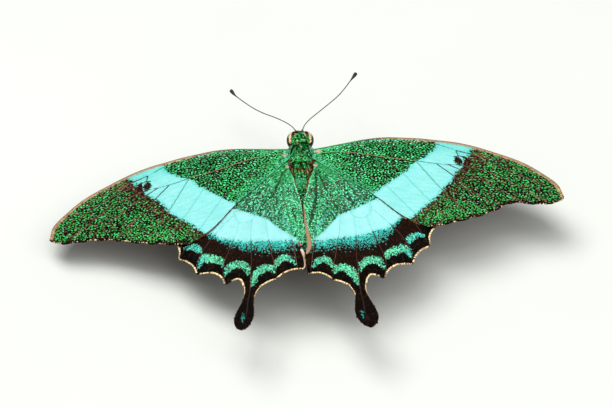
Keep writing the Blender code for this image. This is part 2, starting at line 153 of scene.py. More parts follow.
HIND_VEINS = {"cell_front": [(0.6, 1.2), (6.0, 5.0), (9.7, 11.4)],
              "cell_back": [(0.1, 2.2), (3.0, 7.6), (4.6, 10.6), (5.7, 13.0)],
              "cell_end": [(9.7, 11.4), (9.2, 13.2), (8.5, 14.4), (7.4, 14.65), (6.4, 14.3), (5.7, 13.0)],
              "radius": [(6.0, 5.0), (12.0, 9.0), (16.8, 14.3), (19.4, 20.3)],
              "media_1": [(9.6, 11.8), (13.0, 16.0), (15.8, 20.9), (16.4, 23.0), (16.4, 25.2)],
              "media_2": [(8.7, 14.1), (9.1, 16.5), (10.2, 20.0), (11.4, 24.0), (11.7, 26.0), (11.3, 29.2)],
              "media_3": [(6.35, 14.3), (6.4, 16.0), (6.6, 18.4), (6.5, 22.5), (6.5, 25.2), (6.7, 28.6),
                          (6.8, 32.5), (7.2, 35.8), (7.4, 38.4), (7.8, 40.3)],
              "cubitus_1": [(3.6, 8.8), (3.8, 14.5), (3.65, 17.5), (3.5, 19.6), (3.1, 21.8), (2.85, 24.4),
                            (2.3, 27.5), (2.1, 30.0)],
              "cubitus_2": [(0.9, 5.0), (0.6, 8.5), (0.2, 11.6), (-0.4, 14.8), (-0.8, 18.0), (-0.85, 21.5),
                            (-1.3, 25.0), (-1.7, 28.8)]}
VEINS = {"fore": FORE_VEINS, "hind": HIND_VEINS}
# worn tan dashes on the forewing: u, v and half width
TAN_DASHES = [[(30.7, -6.5, 0.07), (29.3, -7.75, 0.13)], [(30.6, -5.9, 0.1), (29.0, -6.9, 0.16)],
              [(41.9, 2.4, 0.05), (40.0, 0.6, 0.11)]]
# line on each hindwing where the rear edge of the forewing rests, in the hindwing's u and v
BED = {1: [(-0.4, -1.0), (4.6, 3.7), (9.5, 8.5), (14.0, 13.7), (16.5, 15.9), (19.4, 17.7)],
       -1: [(-0.6, -1.0), (4.0, 4.0), (8.4, 9.2), (12.4, 14.8), (14.7, 17.3), (17.5, 19.3)]}
FORE_SINK, HIND_SWELL = 0.31, 0.58             # shares of the gap between the membranes
SETTLE_WAY = np.array([0.0, -1.11, 1.0])      # the camera's own way, along which the bending stays unseen
# rolled inner edges: u, v, rise and half width, then the green, cream and tan shares at five places along
HEMS = {1: ([(-2.6, 11.1, 0.1, 0.08), (-2.45, 13.3, 0.12, 0.13), (-2.35, 16.2, 0.14, 0.2),
             (-2.1, 18.1, 0.16, 0.28), (-1.85, 20.2, 0.18, 0.38), (-1.75, 22.2, 0.18, 0.42),
             (-2.0, 23.5, 0.16, 0.4), (-2.45, 24.6, 0.12, 0.25)],
            [(0.15, 0, 0, 0, 0), (0, 0, 0, 0, 0.1), (0.5, 0.75, 0.9, 0.9, 0.7)]),
        -1: ([(-2.4, 24.1, 0.1, 0.2), (-2.75, 25.2, 0.12, 0.3), (-2.95, 27.0, 0.1, 0.16),
              (-2.95, 28.9, 0.08, 0.12), (-2.5, 29.5, 0.06, 0.1)],
             [(0, 0, 0, 0, 0), (0.95, 0.6, 0.2, 0.3, 0.8), (0.3, 0.5, 0.8, 0.7, 0.3)])}
# dark folds of the hindwings, painted shade in their creases: u, v and half width
HIND_FOLDS = {1: [[(-0.12, 1.9, 0.1), (-0.1, 5.0, 0.12), (-0.15, 8.0, 0.14), (-0.45, 10.5, 0.2),
                   (-0.85, 13.0, 0.28), (-1.25, 14.8, 0.26), (-1.6, 16.5, 0.1)],
                  [(0.34, 1.8, 0.06), (0.65, 3.8, 0.1), (1.65, 7.3, 0.04)]],
              -1: [[(0.31, 1.7, 0.06), (0.9, 3.3, 0.12), (1.5, 5.1, 0.14), (2.1, 7.2, 0.12), (2.8, 8.7, 0.08),
                    (4.1, 10.3, 0.04)], [(-0.9, 12.6, 0.04), (-1.3, 14.5, 0.08), (-1.6, 16.2, 0.04)]]}
# black blots on the hindwings beside the rolled edges
HIND_BLOTS = {1: [(-0.97, 21.4, 0.1), (-0.92, 22.6, 0.16), (-1.2, 23.4, 0.2)],
              -1: [(-1.6, 22.4, 0.12), (-1.95, 23.5, 0.35), (-2.7, 23.2, 0.35), (-3.2, 22.7, 0.3)]}


# ---------------------------------------------------------------- numbers
def line(points):
    """Smooth line through points, as a function of the share 0 to 1 of its length: Hermite spans whose
    slope at a point is the chord between its neighbours over the two spans' lengths."""
    p = np.asarray(points, float)
    span = np.linalg.norm(np.diff(p[:, :3], axis=0), axis=1)
    far = np.concatenate([[0.0], np.cumsum(span)])
    slope = np.empty_like(p)
    slope[0], slope[-1] = (p[1] - p[0]) / span[0], (p[-1] - p[-2]) / span[-1]
    slope[1:-1] = (p[2:] - p[:-2]) / (span[1:] + span[:-1])[:, None]

    def at(share):
        x = np.clip(share, 0, 1) * far[-1]
        k = np.clip(np.searchsorted(far, x, side="right") - 1, 0, len(span) - 1)
        s, w = ((x - far[k]) / span[k])[..., None], span[k][..., None]
        return ((2 * s ** 3 - 3 * s ** 2 + 1) * p[k] + (s ** 3 - 2 * s ** 2 + s) * w * slope[k]
                + (3 * s ** 2 - 2 * s ** 3) * p[k + 1] + (s ** 3 - s ** 2) * w * slope[k + 1])
    return at


def step(start, end, x):
    """0 before start, 1 after end, smooth between."""
    s = np.clip((x - start) / (end - start), 0, 1)
    return s * s * (3 - 2 * s)


def bell(x, width):
    """1 at nought, falling to 0 both ways as exp(-(x / width)²)."""
    return np.exp(-(x / width) ** 2)


def track(table, x, column=1):
    """A column of a table of rows at x, straight between the rows."""
    table = np.array(table)
    return np.interp(x, table[:, 0], table[:, column])


def dice_for(rng, shape):
    """A die that throws an array of the given shape, or always the mean 0.5 where rng is None."""
    return (lambda: rng.random(shape)) if rng else (lambda: np.full(shape, 0.5))


def unit(v):
    """Vectors of length one."""
    return v / np.maximum(np.linalg.norm(v, axis=-1, keepdims=True), 1e-12)


def stroke(u, v, points, steps=24):
    """Signed depth of (u, v) inside a brush stroke, its half width less the distance to its line."""
    p = line(points)(np.linspace(0, 1, steps))
    depth = np.full(np.shape(u), -1e3)
    for (u0, v0, *w0), (u1, v1, *w1) in zip(p, p[1:]):
        du, dv = u1 - u0, v1 - v0
        s = np.clip(((u - u0) * du + (v - v0) * dv) / max(du * du + dv * dv, 1e-9), 0, 1)
        half = w0[0] + s * (w1[0] - w0[0]) if w0 else 0.0
        depth = np.maximum(depth, half - np.hypot(u - u0 - s * du, v - v0 - s * dv))
    return depth


def strokes(u, v, lines, steps=10):
    """Greatest depth of (u, v) inside any of several brush strokes."""
    return np.max([stroke(u, v, points, steps) for points in lines], axis=0)


def waves(u, v, size, seed, count=7):
    """Gentle noise between about -1 and 1: a sum of sine waves of about the given size, each in a seeded
    direction."""
    rng = np.random.default_rng(seed)
    total = 0
    for _ in range(count):
        turn = rng.uniform(0, 2 * np.pi)
        length, phase = size * rng.uniform(0.7, 1.6), rng.uniform(0, 2 * np.pi)
        total = total + np.sin(2 * np.pi * (u * np.cos(turn) + v * np.sin(turn)) / length + phase)
    return total / (1.3 * math.sqrt(count))


def grain(u, v, size, rng, own=1.0):
    """Even numbers from 0 to 1, alike within about the given size, so that scales of one colour stand in
    small groups: the rank of waves plus a die of the given weight."""
    mixed = own * rng.random(len(u)) + waves(u, v, size, 2, 40)
    return np.argsort(np.argsort(mixed)) / len(mixed)


def place(points):
    """Metres in the frame of the solids from millimetres at the hinges."""
    return (np.asarray(points, float) + ORIGIN) * MM


def rows(*columns):
    """Rows from columns, each an array or one number for all rows."""
    return np.stack(np.broadcast_arrays(*columns), -1).astype(float)


# ---------------------------------------------------------------- meshes
def mesh_piece(name, points, faces, finish, marks=None, shade=None, uv=None, stands_for=()):
    """Piece from points in millimetres and arrays of faces of one size each, riding on the butterfly; marks
    and shade are colours of its points."""
    mesh = bpy.data.meshes.new(name)
    mesh.vertices.add(len(points))
    mesh.vertices.foreach_set("co", np.ascontiguousarray(place(points), np.float32).ravel())
    loops = np.concatenate([f.ravel() for f in faces]).astype(np.int32)
    sizes = np.concatenate([np.full(len(f), f.shape[1]) for f in faces])
    mesh.loops.add(len(loops))
    mesh.loops.foreach_set("vertex_index", loops)
    mesh.polygons.add(len(sizes))
    mesh.polygons.foreach_set("loop_start", np.concatenate([[0], np.cumsum(sizes)[:-1]]).astype(np.int32))
    mesh.update(calc_edges=True)
    mesh.validate()
    for key, values in (("marks", marks), ("shade", shade)):
        if values is not None:
            layer = mesh.attributes.new(key, "FLOAT_COLOR", "POINT")
            layer.data.foreach_set("color", np.ascontiguousarray(values, np.float32).ravel())
    if uv is not None:
        layer = mesh.uv_layers.new(name="OFBake")
        layer.data.foreach_set("uv", np.ascontiguousarray(uv[loops], np.float32).ravel())
    mesh.shade_smooth()
    mesh.materials.append(finish)
    piece = bpy.data.objects.new(name, mesh)
    bpy.context.scene.collection.objects.link(piece)
    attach(piece, "root")
    if stands_for:
        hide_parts(*stands_for)
    return piece


def grid_faces(lines, columns, wrap=False, first=0):
    """Quads between neighbouring rows and columns of points; wrap joins the last column to the first."""
    r = np.arange(lines - 1)[:, None]
    c = np.arange(columns if wrap else columns - 1)[None, :]
    nxt = (c + 1) % columns
    quads = np.stack(np.broadcast_arrays(r * columns + c, r * columns + nxt, (r + 1) * columns + nxt,
                                         (r + 1) * columns + c), -1)
    return quads.reshape(-1, 4) + first


def outward(points, quads, tris):
    """The same faces, turned round if they enclose a negative volume."""
    both = np.concatenate([quads[:, [0, 1, 2]], quads[:, [0, 2, 3]], tris])
    a, b, c = points[both[:, 0]], points[both[:, 1]], points[both[:, 2]]
    if np.einsum("ij,ij->", a, np.cross(b, c)) < 0:
        return quads[:, ::-1], tris[:, ::-1]
    return quads, tris


def closed(rings):
    """Closed surface through rings of points (rows, columns, 3), each end closed by a fan."""
    lines, columns = rings.shape[:2]
    points = np.concatenate([rings.reshape(-1, 3), [rings[0].mean(0)], [rings[-1].mean(0)]])
    c = np.arange(columns)
    nxt, last = (c + 1) % columns, (lines - 1) * columns
    fans = [np.stack([np.full(columns, lines * columns), nxt, c], 1),
            np.stack([np.full(columns, lines * columns + 1), last + c, last + nxt], 1)]
    return points, *outward(points, grid_faces(lines, columns, wrap=True), np.concatenate(fans))


def merged(parts):
    """One array of points and one of each sort of faces, from several."""
    starts = np.cumsum([0] + [len(part[0]) for part in parts])
    points, *faces = zip(*parts)
    return np.concatenate(points), *(np.concatenate([f + k for f, k in zip(sort, starts)]) for sort in faces)


def capped(values):
    """Rows for the points of closed rings, with the first and last row again for the middles of the ends."""
    return np.concatenate([values, values[:1], values[-1:]])


def tube(path, radius, sides=12, across=(0, 0, 1), flat=1.0):
    """Rod along a path: each ring is path + radius (cos t, sin t) in the plane square to the path; flat
    squeezes it."""
    path = np.asarray(path, float)
    radius = np.broadcast_to(radius, len(path)).astype(float)
    way = unit(np.gradient(path, axis=0))
    side = unit(np.cross(way, np.asarray(across, float)))
    up = np.cross(side, way)
    t = np.arange(sides) / sides * 2 * np.pi
    ring = (side[:, None] * np.cos(t)[None, :, None] + up[:, None] * np.sin(t)[None, :, None] * flat)
    return closed(path[:, None] + ring * radius[:, None, None])


def vanes(root, way, across, up, length, width, tilt, lift=0.0):
    """Slightly bent scales: at share s of its length a scale stands at root + way length s
    + up (lift + tilt length (s + 0.35 s (1 - s))), and is 0.54, 1 and 0.66 of its width wide at its root,
    middle and tip."""
    s = np.array([0.0, 0.5, 1.0])[None, :, None, None]
    half = np.array([0.27, 0.5, 0.33])[None, :, None, None]
    c = np.array([-1.0, 1.0])[None, None, :, None]
    n = len(root)
    far, wide, k, h = (np.broadcast_to(x, n)[:, None, None, None] for x in (length, width, tilt, lift))
    spread = root[:, None, None] + way[:, None, None] * s * far + across[:, None, None] * c * half * wide
    points = spread + up[:, None, None] * (h + k * far * (s + 0.35 * s * (1 - s)))
    one = grid_faces(3, 2)
    quads = (one[None] + 6 * np.arange(n)[:, None, None]).reshape(-1, 4)
    patch = np.stack(np.meshgrid([-0.5, 0, 0.5], [-0.5, 0.5], indexing="ij")[::-1], -1)
    return points.reshape(-1, 3), quads, patch.reshape(1, 6, 2) * BAKE_PATCH


def hairs(root, way, bend, length, radius):
    """Hairs with three sides: at share s a hair stands at root + length (way s + bend s²) and its radius
    falls from its root to a point."""
    n = len(root)
    s = np.array([0.0, 0.5])
    far, r = (np.broadcast_to(x, n)[:, None, None, None] for x in (length, radius))
    side = unit(np.cross(way, np.where(np.abs(way[:, 2:3]) < 0.9, [[0, 0, 1.0]], [[1.0, 0, 0]])))
    up = np.cross(side, way)
    t = np.arange(3) * 2 * np.pi / 3
    ring = side[:, None] * np.cos(t)[None, :, None] + up[:, None] * np.sin(t)[None, :, None]
    share = s[None, :, None]
    spine = root[:, None] + far[:, :, 0] * (way[:, None] * share + bend[:, None] * share ** 2)
    rings = spine[:, :, None] + ring[:, None] * r * np.array([1.0, 0.75])[None, :, None, None]
    tip = root + far[:, 0, 0] * (way + bend)
    points = np.concatenate([rings.reshape(n, 6, 3), tip[:, None]], 1).reshape(-1, 3)
    first = 7 * np.arange(n)[:, None, None]
    quads = (np.array([[0, 1, 4, 3], [1, 2, 5, 4], [2, 0, 3, 5]])[None] + first).reshape(-1, 4)
    tris = (np.array([[3, 4, 6], [4, 5, 6], [5, 3, 6]])[None] + first).reshape(-1, 3)
    patch = np.array([[-0.5, -0.5], [0, -0.5], [0.5, -0.5], [-0.5, 0], [0, 0], [0.5, 0], [0, 0.5]])
    return points, quads, tris, patch[None] * BAKE_PATCH


class Coat:
    """Scales or hairs gathered into one piece, with their colours and their patches on the bake map."""

    def __init__(self):
        self.parts, self.marks, self.shade, self.uv = [], [], [], []

    def add(self, shapes, marks, shade, unwrap, turned=False):
        """Takes what vanes or hairs gave, and for each of them a row of marks, of shade and of its place on
        the unwrap; turned reverses the faces."""
        points, quads, *tris, pad = shapes
        corners = len(points) // len(marks)
        self.parts.append((points, quads[:, ::-1] if turned else quads, *tris))
        self.marks.append(np.repeat(marks, corners, 0))
        self.shade.append(np.repeat(shade, corners, 0))
        self.uv.append((unwrap[:, None] + pad).reshape(-1, 2))

    def piece(self, name, finish, slot):
        """The one mesh of all that was added."""
        points, *faces = merged(self.parts)
        marks, shade, uv = (np.concatenate(part) for part in (self.marks, self.shade, self.uv))
        return mesh_piece(name, points, faces, finish, marks, shade, uv)


# ---------------------------------------------------------------- shader maths
class Wire:
    """An output socket, on which Python sums write Math nodes."""

    def __init__(self, finish, socket):
        self.finish, self.socket = finish, socket

    def _sum(self, operation, first, second):
        return self.finish.node("Math", {"operation": operation}, {0: first, 1: second})

    def __add__(self, other):
        return self._sum("ADD", self, other)

    def __sub__(self, other):
        return self._sum("SUBTRACT", self, other)

    def __mul__(self, other):
        return self._sum("MULTIPLY", self, other)

    def __rsub__(self, other):
        return self._sum("SUBTRACT", other, self)

    __radd__, __rmul__ = __add__, __mul__


class Finish:
    """A material and the nodes it is written with."""

    def __init__(self, name):
        self.material = bpy.data.materials.new(name)
        self.material.use_nodes = True
        self.tree = self.material.node_tree
        self.shader = self.tree.nodes["Principled BSDF"]

    def node(self, kind, settings=None, inputs=None, output=0):
        """Adds a shader node with its settings, then its sockets' values or links, and gives one output."""
        made = self.tree.nodes.new("ShaderNode" + kind)
        for key, value in (settings or {}).items():
            if key == "stops":
                ramp = made.color_ramp.elements
                for at, colour in value[2:]:
                    ramp.new(at).color = (*colour, 1)
                ramp[0].color, ramp[-1].color = (*value[0][1], 1), (*value[1][1], 1)
            else:
                setattr(made, key, value)
        for key, value in (inputs or {}).items():
            self.set(made.inputs[key], value)
        return Wire(self, made.outputs[output])

    def set(self, socket, value):
        """Links a wire to a socket, or writes a value on it."""
        if isinstance(value, Wire):
            self.tree.links.new(value.socket, socket)
        elif socket.type == "RGBA" and len(value) == 3:
            socket.default_value = (*value, 1)
        else:
            socket.default_value = value

    def mix(self, share, first, second):
        """Colour between two."""
        return self.node("Mix", {"data_type": "RGBA"}, {0: share, 6: first, 7: second}, 2)

    def scaled(self, colour, factor):
        """Colour times a factor."""
        return self.node("VectorMath", {"operation": "SCALE"}, {0: colour, "Scale": factor})

    def channels(self, name):
        """Red, green, blue and alpha of a colour attribute."""
        made = self.tree.nodes.new("ShaderNodeAttribute")
        made.attribute_name = name
        parts = self.tree.nodes.new("ShaderNodeSeparateColor")
        self.tree.links.new(made.outputs["Color"], parts.inputs[0])
        return [Wire(self, parts.outputs[k]) for k in range(3)] + [Wire(self, made.outputs["Alpha"])]

    def noise(self, size, detail=2.0):
        """Noise between 0 and 1 with features of a size in millimetres."""
        where = self.node("TexCoord", output="Object")
        return self.node("TexNoise", None, {"Vector": where, "Scale": 1 / (size * MM), "Detail": detail})

    def cells(self, size, output="Distance"):
        """Cellular pattern with cells of a size in millimetres."""
        where = self.node("TexCoord", output="Object")
        return self.node("TexVoronoi", None, {"Vector": where, "Scale": 1 / (size * MM)}, output)

    def bump(self, height, depth, strength=1.0):
        """Normal from a height, depth in millimetres."""
        return self.node("Bump", None, {"Strength": strength, "Distance": depth * MM, "Height": height})

    def done(self, base, roughness=0.5, normal=None, **fixed):
        """Wires the Principled shader; fixed values stand on its own sockets."""
        self.set(self.shader.inputs["Base Color"], base)
        self.set(self.shader.inputs["Roughness"], roughness)
        if normal:
            self.set(self.shader.inputs["Normal"], normal)
        for key, value in fixed.items():
            self.shader.inputs[key.replace("_", " ").title().replace("Ior", "IOR")].default_value = value
        return self.material


# ---------------------------------------------------------------- finishes
def srgb(red, green, blue):
    """Linear colour from the usual 0 to 255 numbers."""
    shares = (c / 255 for c in (red, green, blue))
    return tuple(c / 12.92 if c < 11 / 255 else ((c + 0.055) / 1.055) ** 2.4 for c in shares)


BLACK, BROWN = srgb(3, 5, 3), srgb(46, 24, 13)
LEAF, EMERALD, MINT, TEAL = srgb(54, 170, 76), srgb(64, 186, 108), srgb(112, 220, 170), srgb(64, 208, 200)
BAND_DEEP, BAND_PALE = srgb(84, 204, 190), srgb(165, 230, 229)
CREAM, TAN, RUST, ROSE = srgb(246, 218, 164), srgb(176, 138, 104), srgb(186, 104, 44), srgb(220, 90, 88)
BLUSH = srgb(243, 226, 214)


def scale_colour(finish):
    """Colour of scales, with the band, green and tone behind it, from two attributes: marks holds band,
    green, cream and rose, and shade holds the green's hue, the share of brown, the tone and the share of tan,
    which is rust where the hue is full."""
    band, green, cream, rose = finish.channels("marks")
    hue, brown, tone, tan = finish.channels("shade")
    dark = finish.mix(brown, BLACK, BROWN)
    leaf = finish.node("ValToRGB", {"stops": [(0, LEAF), (1, TEAL), (0.33, EMERALD), (0.66, MINT)]}, {0: hue})
    colour = finish.mix(green, dark, leaf)
    colour = finish.mix(band, colour, finish.mix(tone, BAND_DEEP, BAND_PALE))
    warm = finish.node("MapRange", None, {0: hue, 1: 0.9, 2: 1.0})
    colour = finish.mix(tan, colour, finish.mix(warm, TAN, RUST))
    colour = finish.mix(cream, colour, finish.mix(hue, CREAM, BLUSH))
    colour = finish.mix(rose, colour, ROSE)
    return colour, band, green, tone


def scales_finish(name):
    """Silky scales, each a little lighter or darker than the next."""
    finish = Finish(name)
    colour, band, green, tone = scale_colour(finish)
    shaded = finish.scaled(colour, finish.node("MapRange", None, {0: tone, 3: 0.42, 4: 1.6}))
    colour = finish.mix(band, shaded, colour)
    grooves = finish.noise(0.05, 1.0)
    return finish.done(colour, 0.66 - 0.12 * green, finish.bump(grooves, 0.006, 0.4), specular_ior_level=0.05)


def membrane_finish(name):
    """Thin wing skin, which carries the same markings as its scales, with a fine grain."""
    finish = Finish(name)
    colour, *_ = scale_colour(finish)
    grain = finish.cells(0.22, output="Color")
    speck = finish.node("SeparateColor", None, {0: grain})
    colour = finish.scaled(colour, 0.55 + 0.6 * speck)
    return finish.done(colour, 0.6, finish.bump(speck, 0.02, 0.5), specular_ior_level=0.06)


def vein_finish(name):
    """Wing veins: marks carried on, with a faint horny gloss."""
    finish = Finish(name)
    colour, *_, tone = scale_colour(finish)
    colour = finish.scaled(colour, (0.4 + 0.9 * tone) * (0.75 + 0.5 * finish.noise(0.4)))
    return finish.done(colour, 0.5, finish.bump(finish.noise(0.12), 0.02, 0.5), specular_ior_level=0.25)


def eye_finish():
    """Dark compound eye: fine facets under a faint gloss, with a painted pale glare in front where shade
    says.
    """
    finish = Finish("compound_eye")
    painted_glare = finish.channels("shade")[0]
    facets = finish.cells(0.06)
    colour = finish.mix(finish.noise(0.9), srgb(8, 6, 4), srgb(30, 18, 11))
    colour = finish.mix(0.5 * facets, colour, srgb(4, 4, 3))
    # painted reflection: a pale glare mixed into the colour at the front top of the eye
    colour = finish.mix(painted_glare * (0.6 + 0.4 * facets), colour, srgb(226, 208, 192))
    return finish.done(colour, 0.35 + 0.12 * facets, finish.bump(1 - facets, 0.004, 0.5), coat_weight=0.1,
                       coat_roughness=0.2, specular_ior_level=0.1)


def horn_finish(name, light, dark):
    """Satin chitin, lighter and darker in patches, with fine pits."""
    finish = Finish(name)
    share = finish.node("MapRange", None, {0: finish.noise(0.7, 3.0), 1: 0.35, 2: 0.7})
    colour = finish.mix(share, dark, light)
    colour = finish.mix(0.35 * finish.noise(0.08), colour, srgb(16, 12, 8))
    roughness = 0.34 + 0.25 * finish.noise(0.15)
    return finish.done(colour, roughness, finish.bump(finish.noise(0.05, 3.0), 0.012, 0.6),
                       specular_ior_level=0.5)


def antenna_finish():
    """Olive-brown feeler that darkens into its club; shade says how far out, and where its rings are."""
    finish = Finish("antenna_horn")
    out, ring, _, _ = finish.channels("shade")
    stops = [(0, srgb(70, 60, 32)), (1, srgb(24, 20, 12)), (0.8, srgb(84, 70, 42)), (0.88, srgb(34, 28, 16))]
    colour = finish.node("ValToRGB", {"stops": stops}, {0: out})
    colour = finish.scaled(colour, 0.7 + 0.45 * ring)
    return finish.done(colour, 0.5, finish.bump(finish.noise(0.06, 3.0), 0.01, 0.6))


def skin_finish():
    """Body skin under the coat: the coat's markings on dark chitin."""
    finish = Finish("body_skin")
    colour, *_ = scale_colour(finish)
    colour = finish.scaled(colour, 0.45 + 0.5 * finish.noise(0.25, 3.0))
    pits = finish.cells(0.16)
    return finish.done(colour, 0.55, finish.bump(pits, 0.04, 0.6), specular_ior_level=0.4)


def floor_finish():
    """Matt pale board with the faintest mottling."""
    finish = Finish("pale_floor")
    colour = finish.mix(finish.noise(60, 3.0), srgb(211, 213, 207), srgb(218, 220, 214))
    return finish.done(colour, 0.85, finish.bump(finish.noise(0.8, 4.0), 0.02, 0.15), specular_ior_level=0.2)


# ---------------------------------------------------------------- wings
class Wing:
    """One wing: a runs 0 to 1 from leading to trailing edge and b from root to margin."""

    def __init__(self, kind, side):
        self.kind, self.side = kind, side
        self.name = kind + "wing_" + SIDES[side]
        hinge, turn = (FORE_HINGE, FORE_TURN) if kind == "fore" else (HIND_HINGE, HIND_TURN)
        sweep, droop, twist = (math.radians(x) for x in turn[side])
        self.hinge = np.array([side * hinge[0], hinge[1], hinge[2]])
        self.turn = np.array(Euler((twist, side * droop, -side * sweep), "ZXY").to_matrix())
        self.lead = line(FORE_COSTA if kind == "fore" else HIND_COSTA)
        self.trail = line(FORE_DORSUM) if kind == "fore" else self.inner
        self.margin = self.fore_margin if kind == "fore" else self.hind_margin
        self.dome = FORE_DOME if kind == "fore" else HIND_DOME

    def inner(self, b):
        """Inner edge of a hindwing, leaning to the butterfly's right."""
        p = line(HIND_INNER)(b)
        lean = INNER_LEAN[self.side] * step(LEAN_START, LEAN_END, p[..., 1:])
        return p + lean * np.array([1.0, 0.0])

    def fore_margin(self, a):
        """Outer edge of a forewing: its smooth line less the hollow and the scallops |sin|."""
        way = unit(np.subtract(FORE_TERMEN[-1], FORE_TERMEN[0]))
        hollow = HOLLOW_DEPTH[self.side] * bell(a - HOLLOW_PLACE, HOLLOW_WIDTH)
        inward = hollow + FORE_SCALLOP_DEPTH * np.abs(np.sin(np.pi * a * FORE_SCALLOPS))
        return line(FORE_TERMEN)(a) + inward[..., None] * np.array([-way[1], way[0]])

    def hind_margin(self, a):
        """Outer edge of a hindwing: from tooth to tooth, hollowed by depth sin(pi t)^0.8."""
        points, depth = np.array([t[0] for t in HIND_TEETH]), np.array([t[1] for t in HIND_TEETH])
        points[-1] = self.inner(np.array(1.0))
        k = np.clip((a * HIND_CELLS + 1e-6).astype(int), 0, HIND_CELLS - 1)
        t = np.clip(a * HIND_CELLS - k, 0, 1)[..., None]
        way = unit(points[k + 1] - points[k])
        bow = depth[k][..., None] * np.sin(np.pi * t) ** 0.8
        return points[k] + (points[k + 1] - points[k]) * t + np.stack([-way[..., 1], way[..., 0]], -1) * bow

    def flat(self, a, b):
        """u, v and rise of the patch between the four edges."""
        a, b = np.broadcast_arrays(np.asarray(a, float), np.asarray(b, float))
        s, t, zero, one = a[..., None], b[..., None], np.zeros_like(a), np.ones_like(a)
        sides = self.lead(b) * (1 - s) + self.trail(b) * s
        root = self.lead(zero) * (1 - s) + self.trail(zero) * s
        ends = root * (1 - t) + self.margin(a) * t
        corners = root * (1 - t) + (self.margin(zero) * (1 - s) + self.margin(one) * s) * t
        rise = self.dome * np.sin(np.pi * a) * np.sin(np.pi * b)
        return np.concatenate([sides + ends - corners, rise[..., None]], -1)

    def tail(self, across, down):
        """u, v and rise of the hindwing's tail, from the margin to its spoon's end."""
        across, down = np.broadcast_arrays(np.asarray(across, float), np.asarray(down, float))
        p, ahead, behind = (line(TAIL[self.side])(down + k) for k in (0, 0.02, -0.02))
        way = unit((ahead - behind)[..., :2])
        half = (p[..., 2] * (1 - 2 * across))[..., None]
        body = p[..., :2] + np.stack([way[..., 1], -way[..., 0]], -1) * half
        body = np.where(down[..., None] < 1e-6, self.margin((TAIL_TOOTH + across) / HIND_CELLS), body)
        return np.concatenate([body, np.zeros(across.shape + (1,))], -1)

    def world(self, p):
        """Millimetres at the hinges from u, v and rise."""
        local = np.stack([self.side * p[..., 0], -p[..., 1], p[..., 2]], -1)
        bent = self.settled(p[..., 0], p[..., 1])[..., None] * SETTLE_WAY
        return local @ self.turn.T + self.hinge + bent

    def settled(self, u, v):
        """How far the membranes bend to lie on each other: the gap at share t of the forewing's rear edge is
        0.42 + 1.1 t^2.5; the forewing sinks and the hindwing swells by a share of it each, fading over about
        7 mm; the right hindwing's inner edge also rises over the left one."""
        bed = FORE_DORSUM if self.kind == "fore" else BED[self.side]
        gap = 0.42 + 1.1 * np.clip(u / bed[-1][0], 0, 1) ** 2.5
        if self.kind == "fore":
            return -FORE_SINK * gap * (1 - step(0.0, 6.5, -stroke(u, v, bed, 12)))
        rise = HIND_SWELL * gap * (1 - step(0.5, 8.0, v - track(bed, u)))
        if self.side > 0:
            rise = rise + 0.6 * (1 - step(-2.2, 0.4, u)) * step(6, 12, v)
        return rise

    def shaped(self, patch, a, b):
        """Patch point with the wing's own relief on it."""
        p = patch(a, b)
        return p + rows(0, 0, self.relief(p[..., 0], p[..., 1]))

    def relief(self, u, v):
        """Gentle waves all over the wing, and on a hindwing a groove along each of its folds."""
        height = 0.05 * waves(u, v, 7.0, 5)
        if self.kind == "hind":
            depth = np.minimum(strokes(u, v, HIND_FOLDS[self.side]), 0)
            height = height - 0.1 * bell(depth, 0.3)
        return height

    def unwrap(self, p):
        """Places on the unwrap of the flat wing, 0 to 1 each way."""
        low_corner, span = WING_BOX[self.kind]
        return (p[:, :2] - low_corner) / span

    def frame(self, patch, a, b):
        """Place, way outwards, way across and normal at points of a patch."""
        e = 2e-3

        def at(across, down):
            return self.world(self.shaped(patch, across, down))
        here = at(a, b)
        out = at(a, np.minimum(b + e, 1)) - at(a, b - e)
        over = at(np.minimum(a + e, 1), b) - at(np.maximum(a - e, 0), b)
        normal = unit(np.cross(over, out))
        normal = normal * np.sign(normal[..., 2:])
        way = unit(out)
        return here, way, unit(np.cross(way, normal)), normal


def band_depth(u, v, wing):
    """How far (u, v) lies inside the turquoise band, in millimetres, and how far past its outer edge: in
    millimetres on a forewing, and on a hindwing as a share of the dusty strip there."""
    if wing.kind == "fore":
        inner, outer = (track(FORE_BAND[wing.side], v, k) for k in (1, 2))
        return np.minimum(u - inner, outer - u), u - outer
    inner, outer, dust = (track(HIND_BAND[wing.side], u, k) for k in (1, 2, 3))
    return np.minimum(v - inner, outer - v), (v - outer) / np.maximum(dust - outer, 0.3)


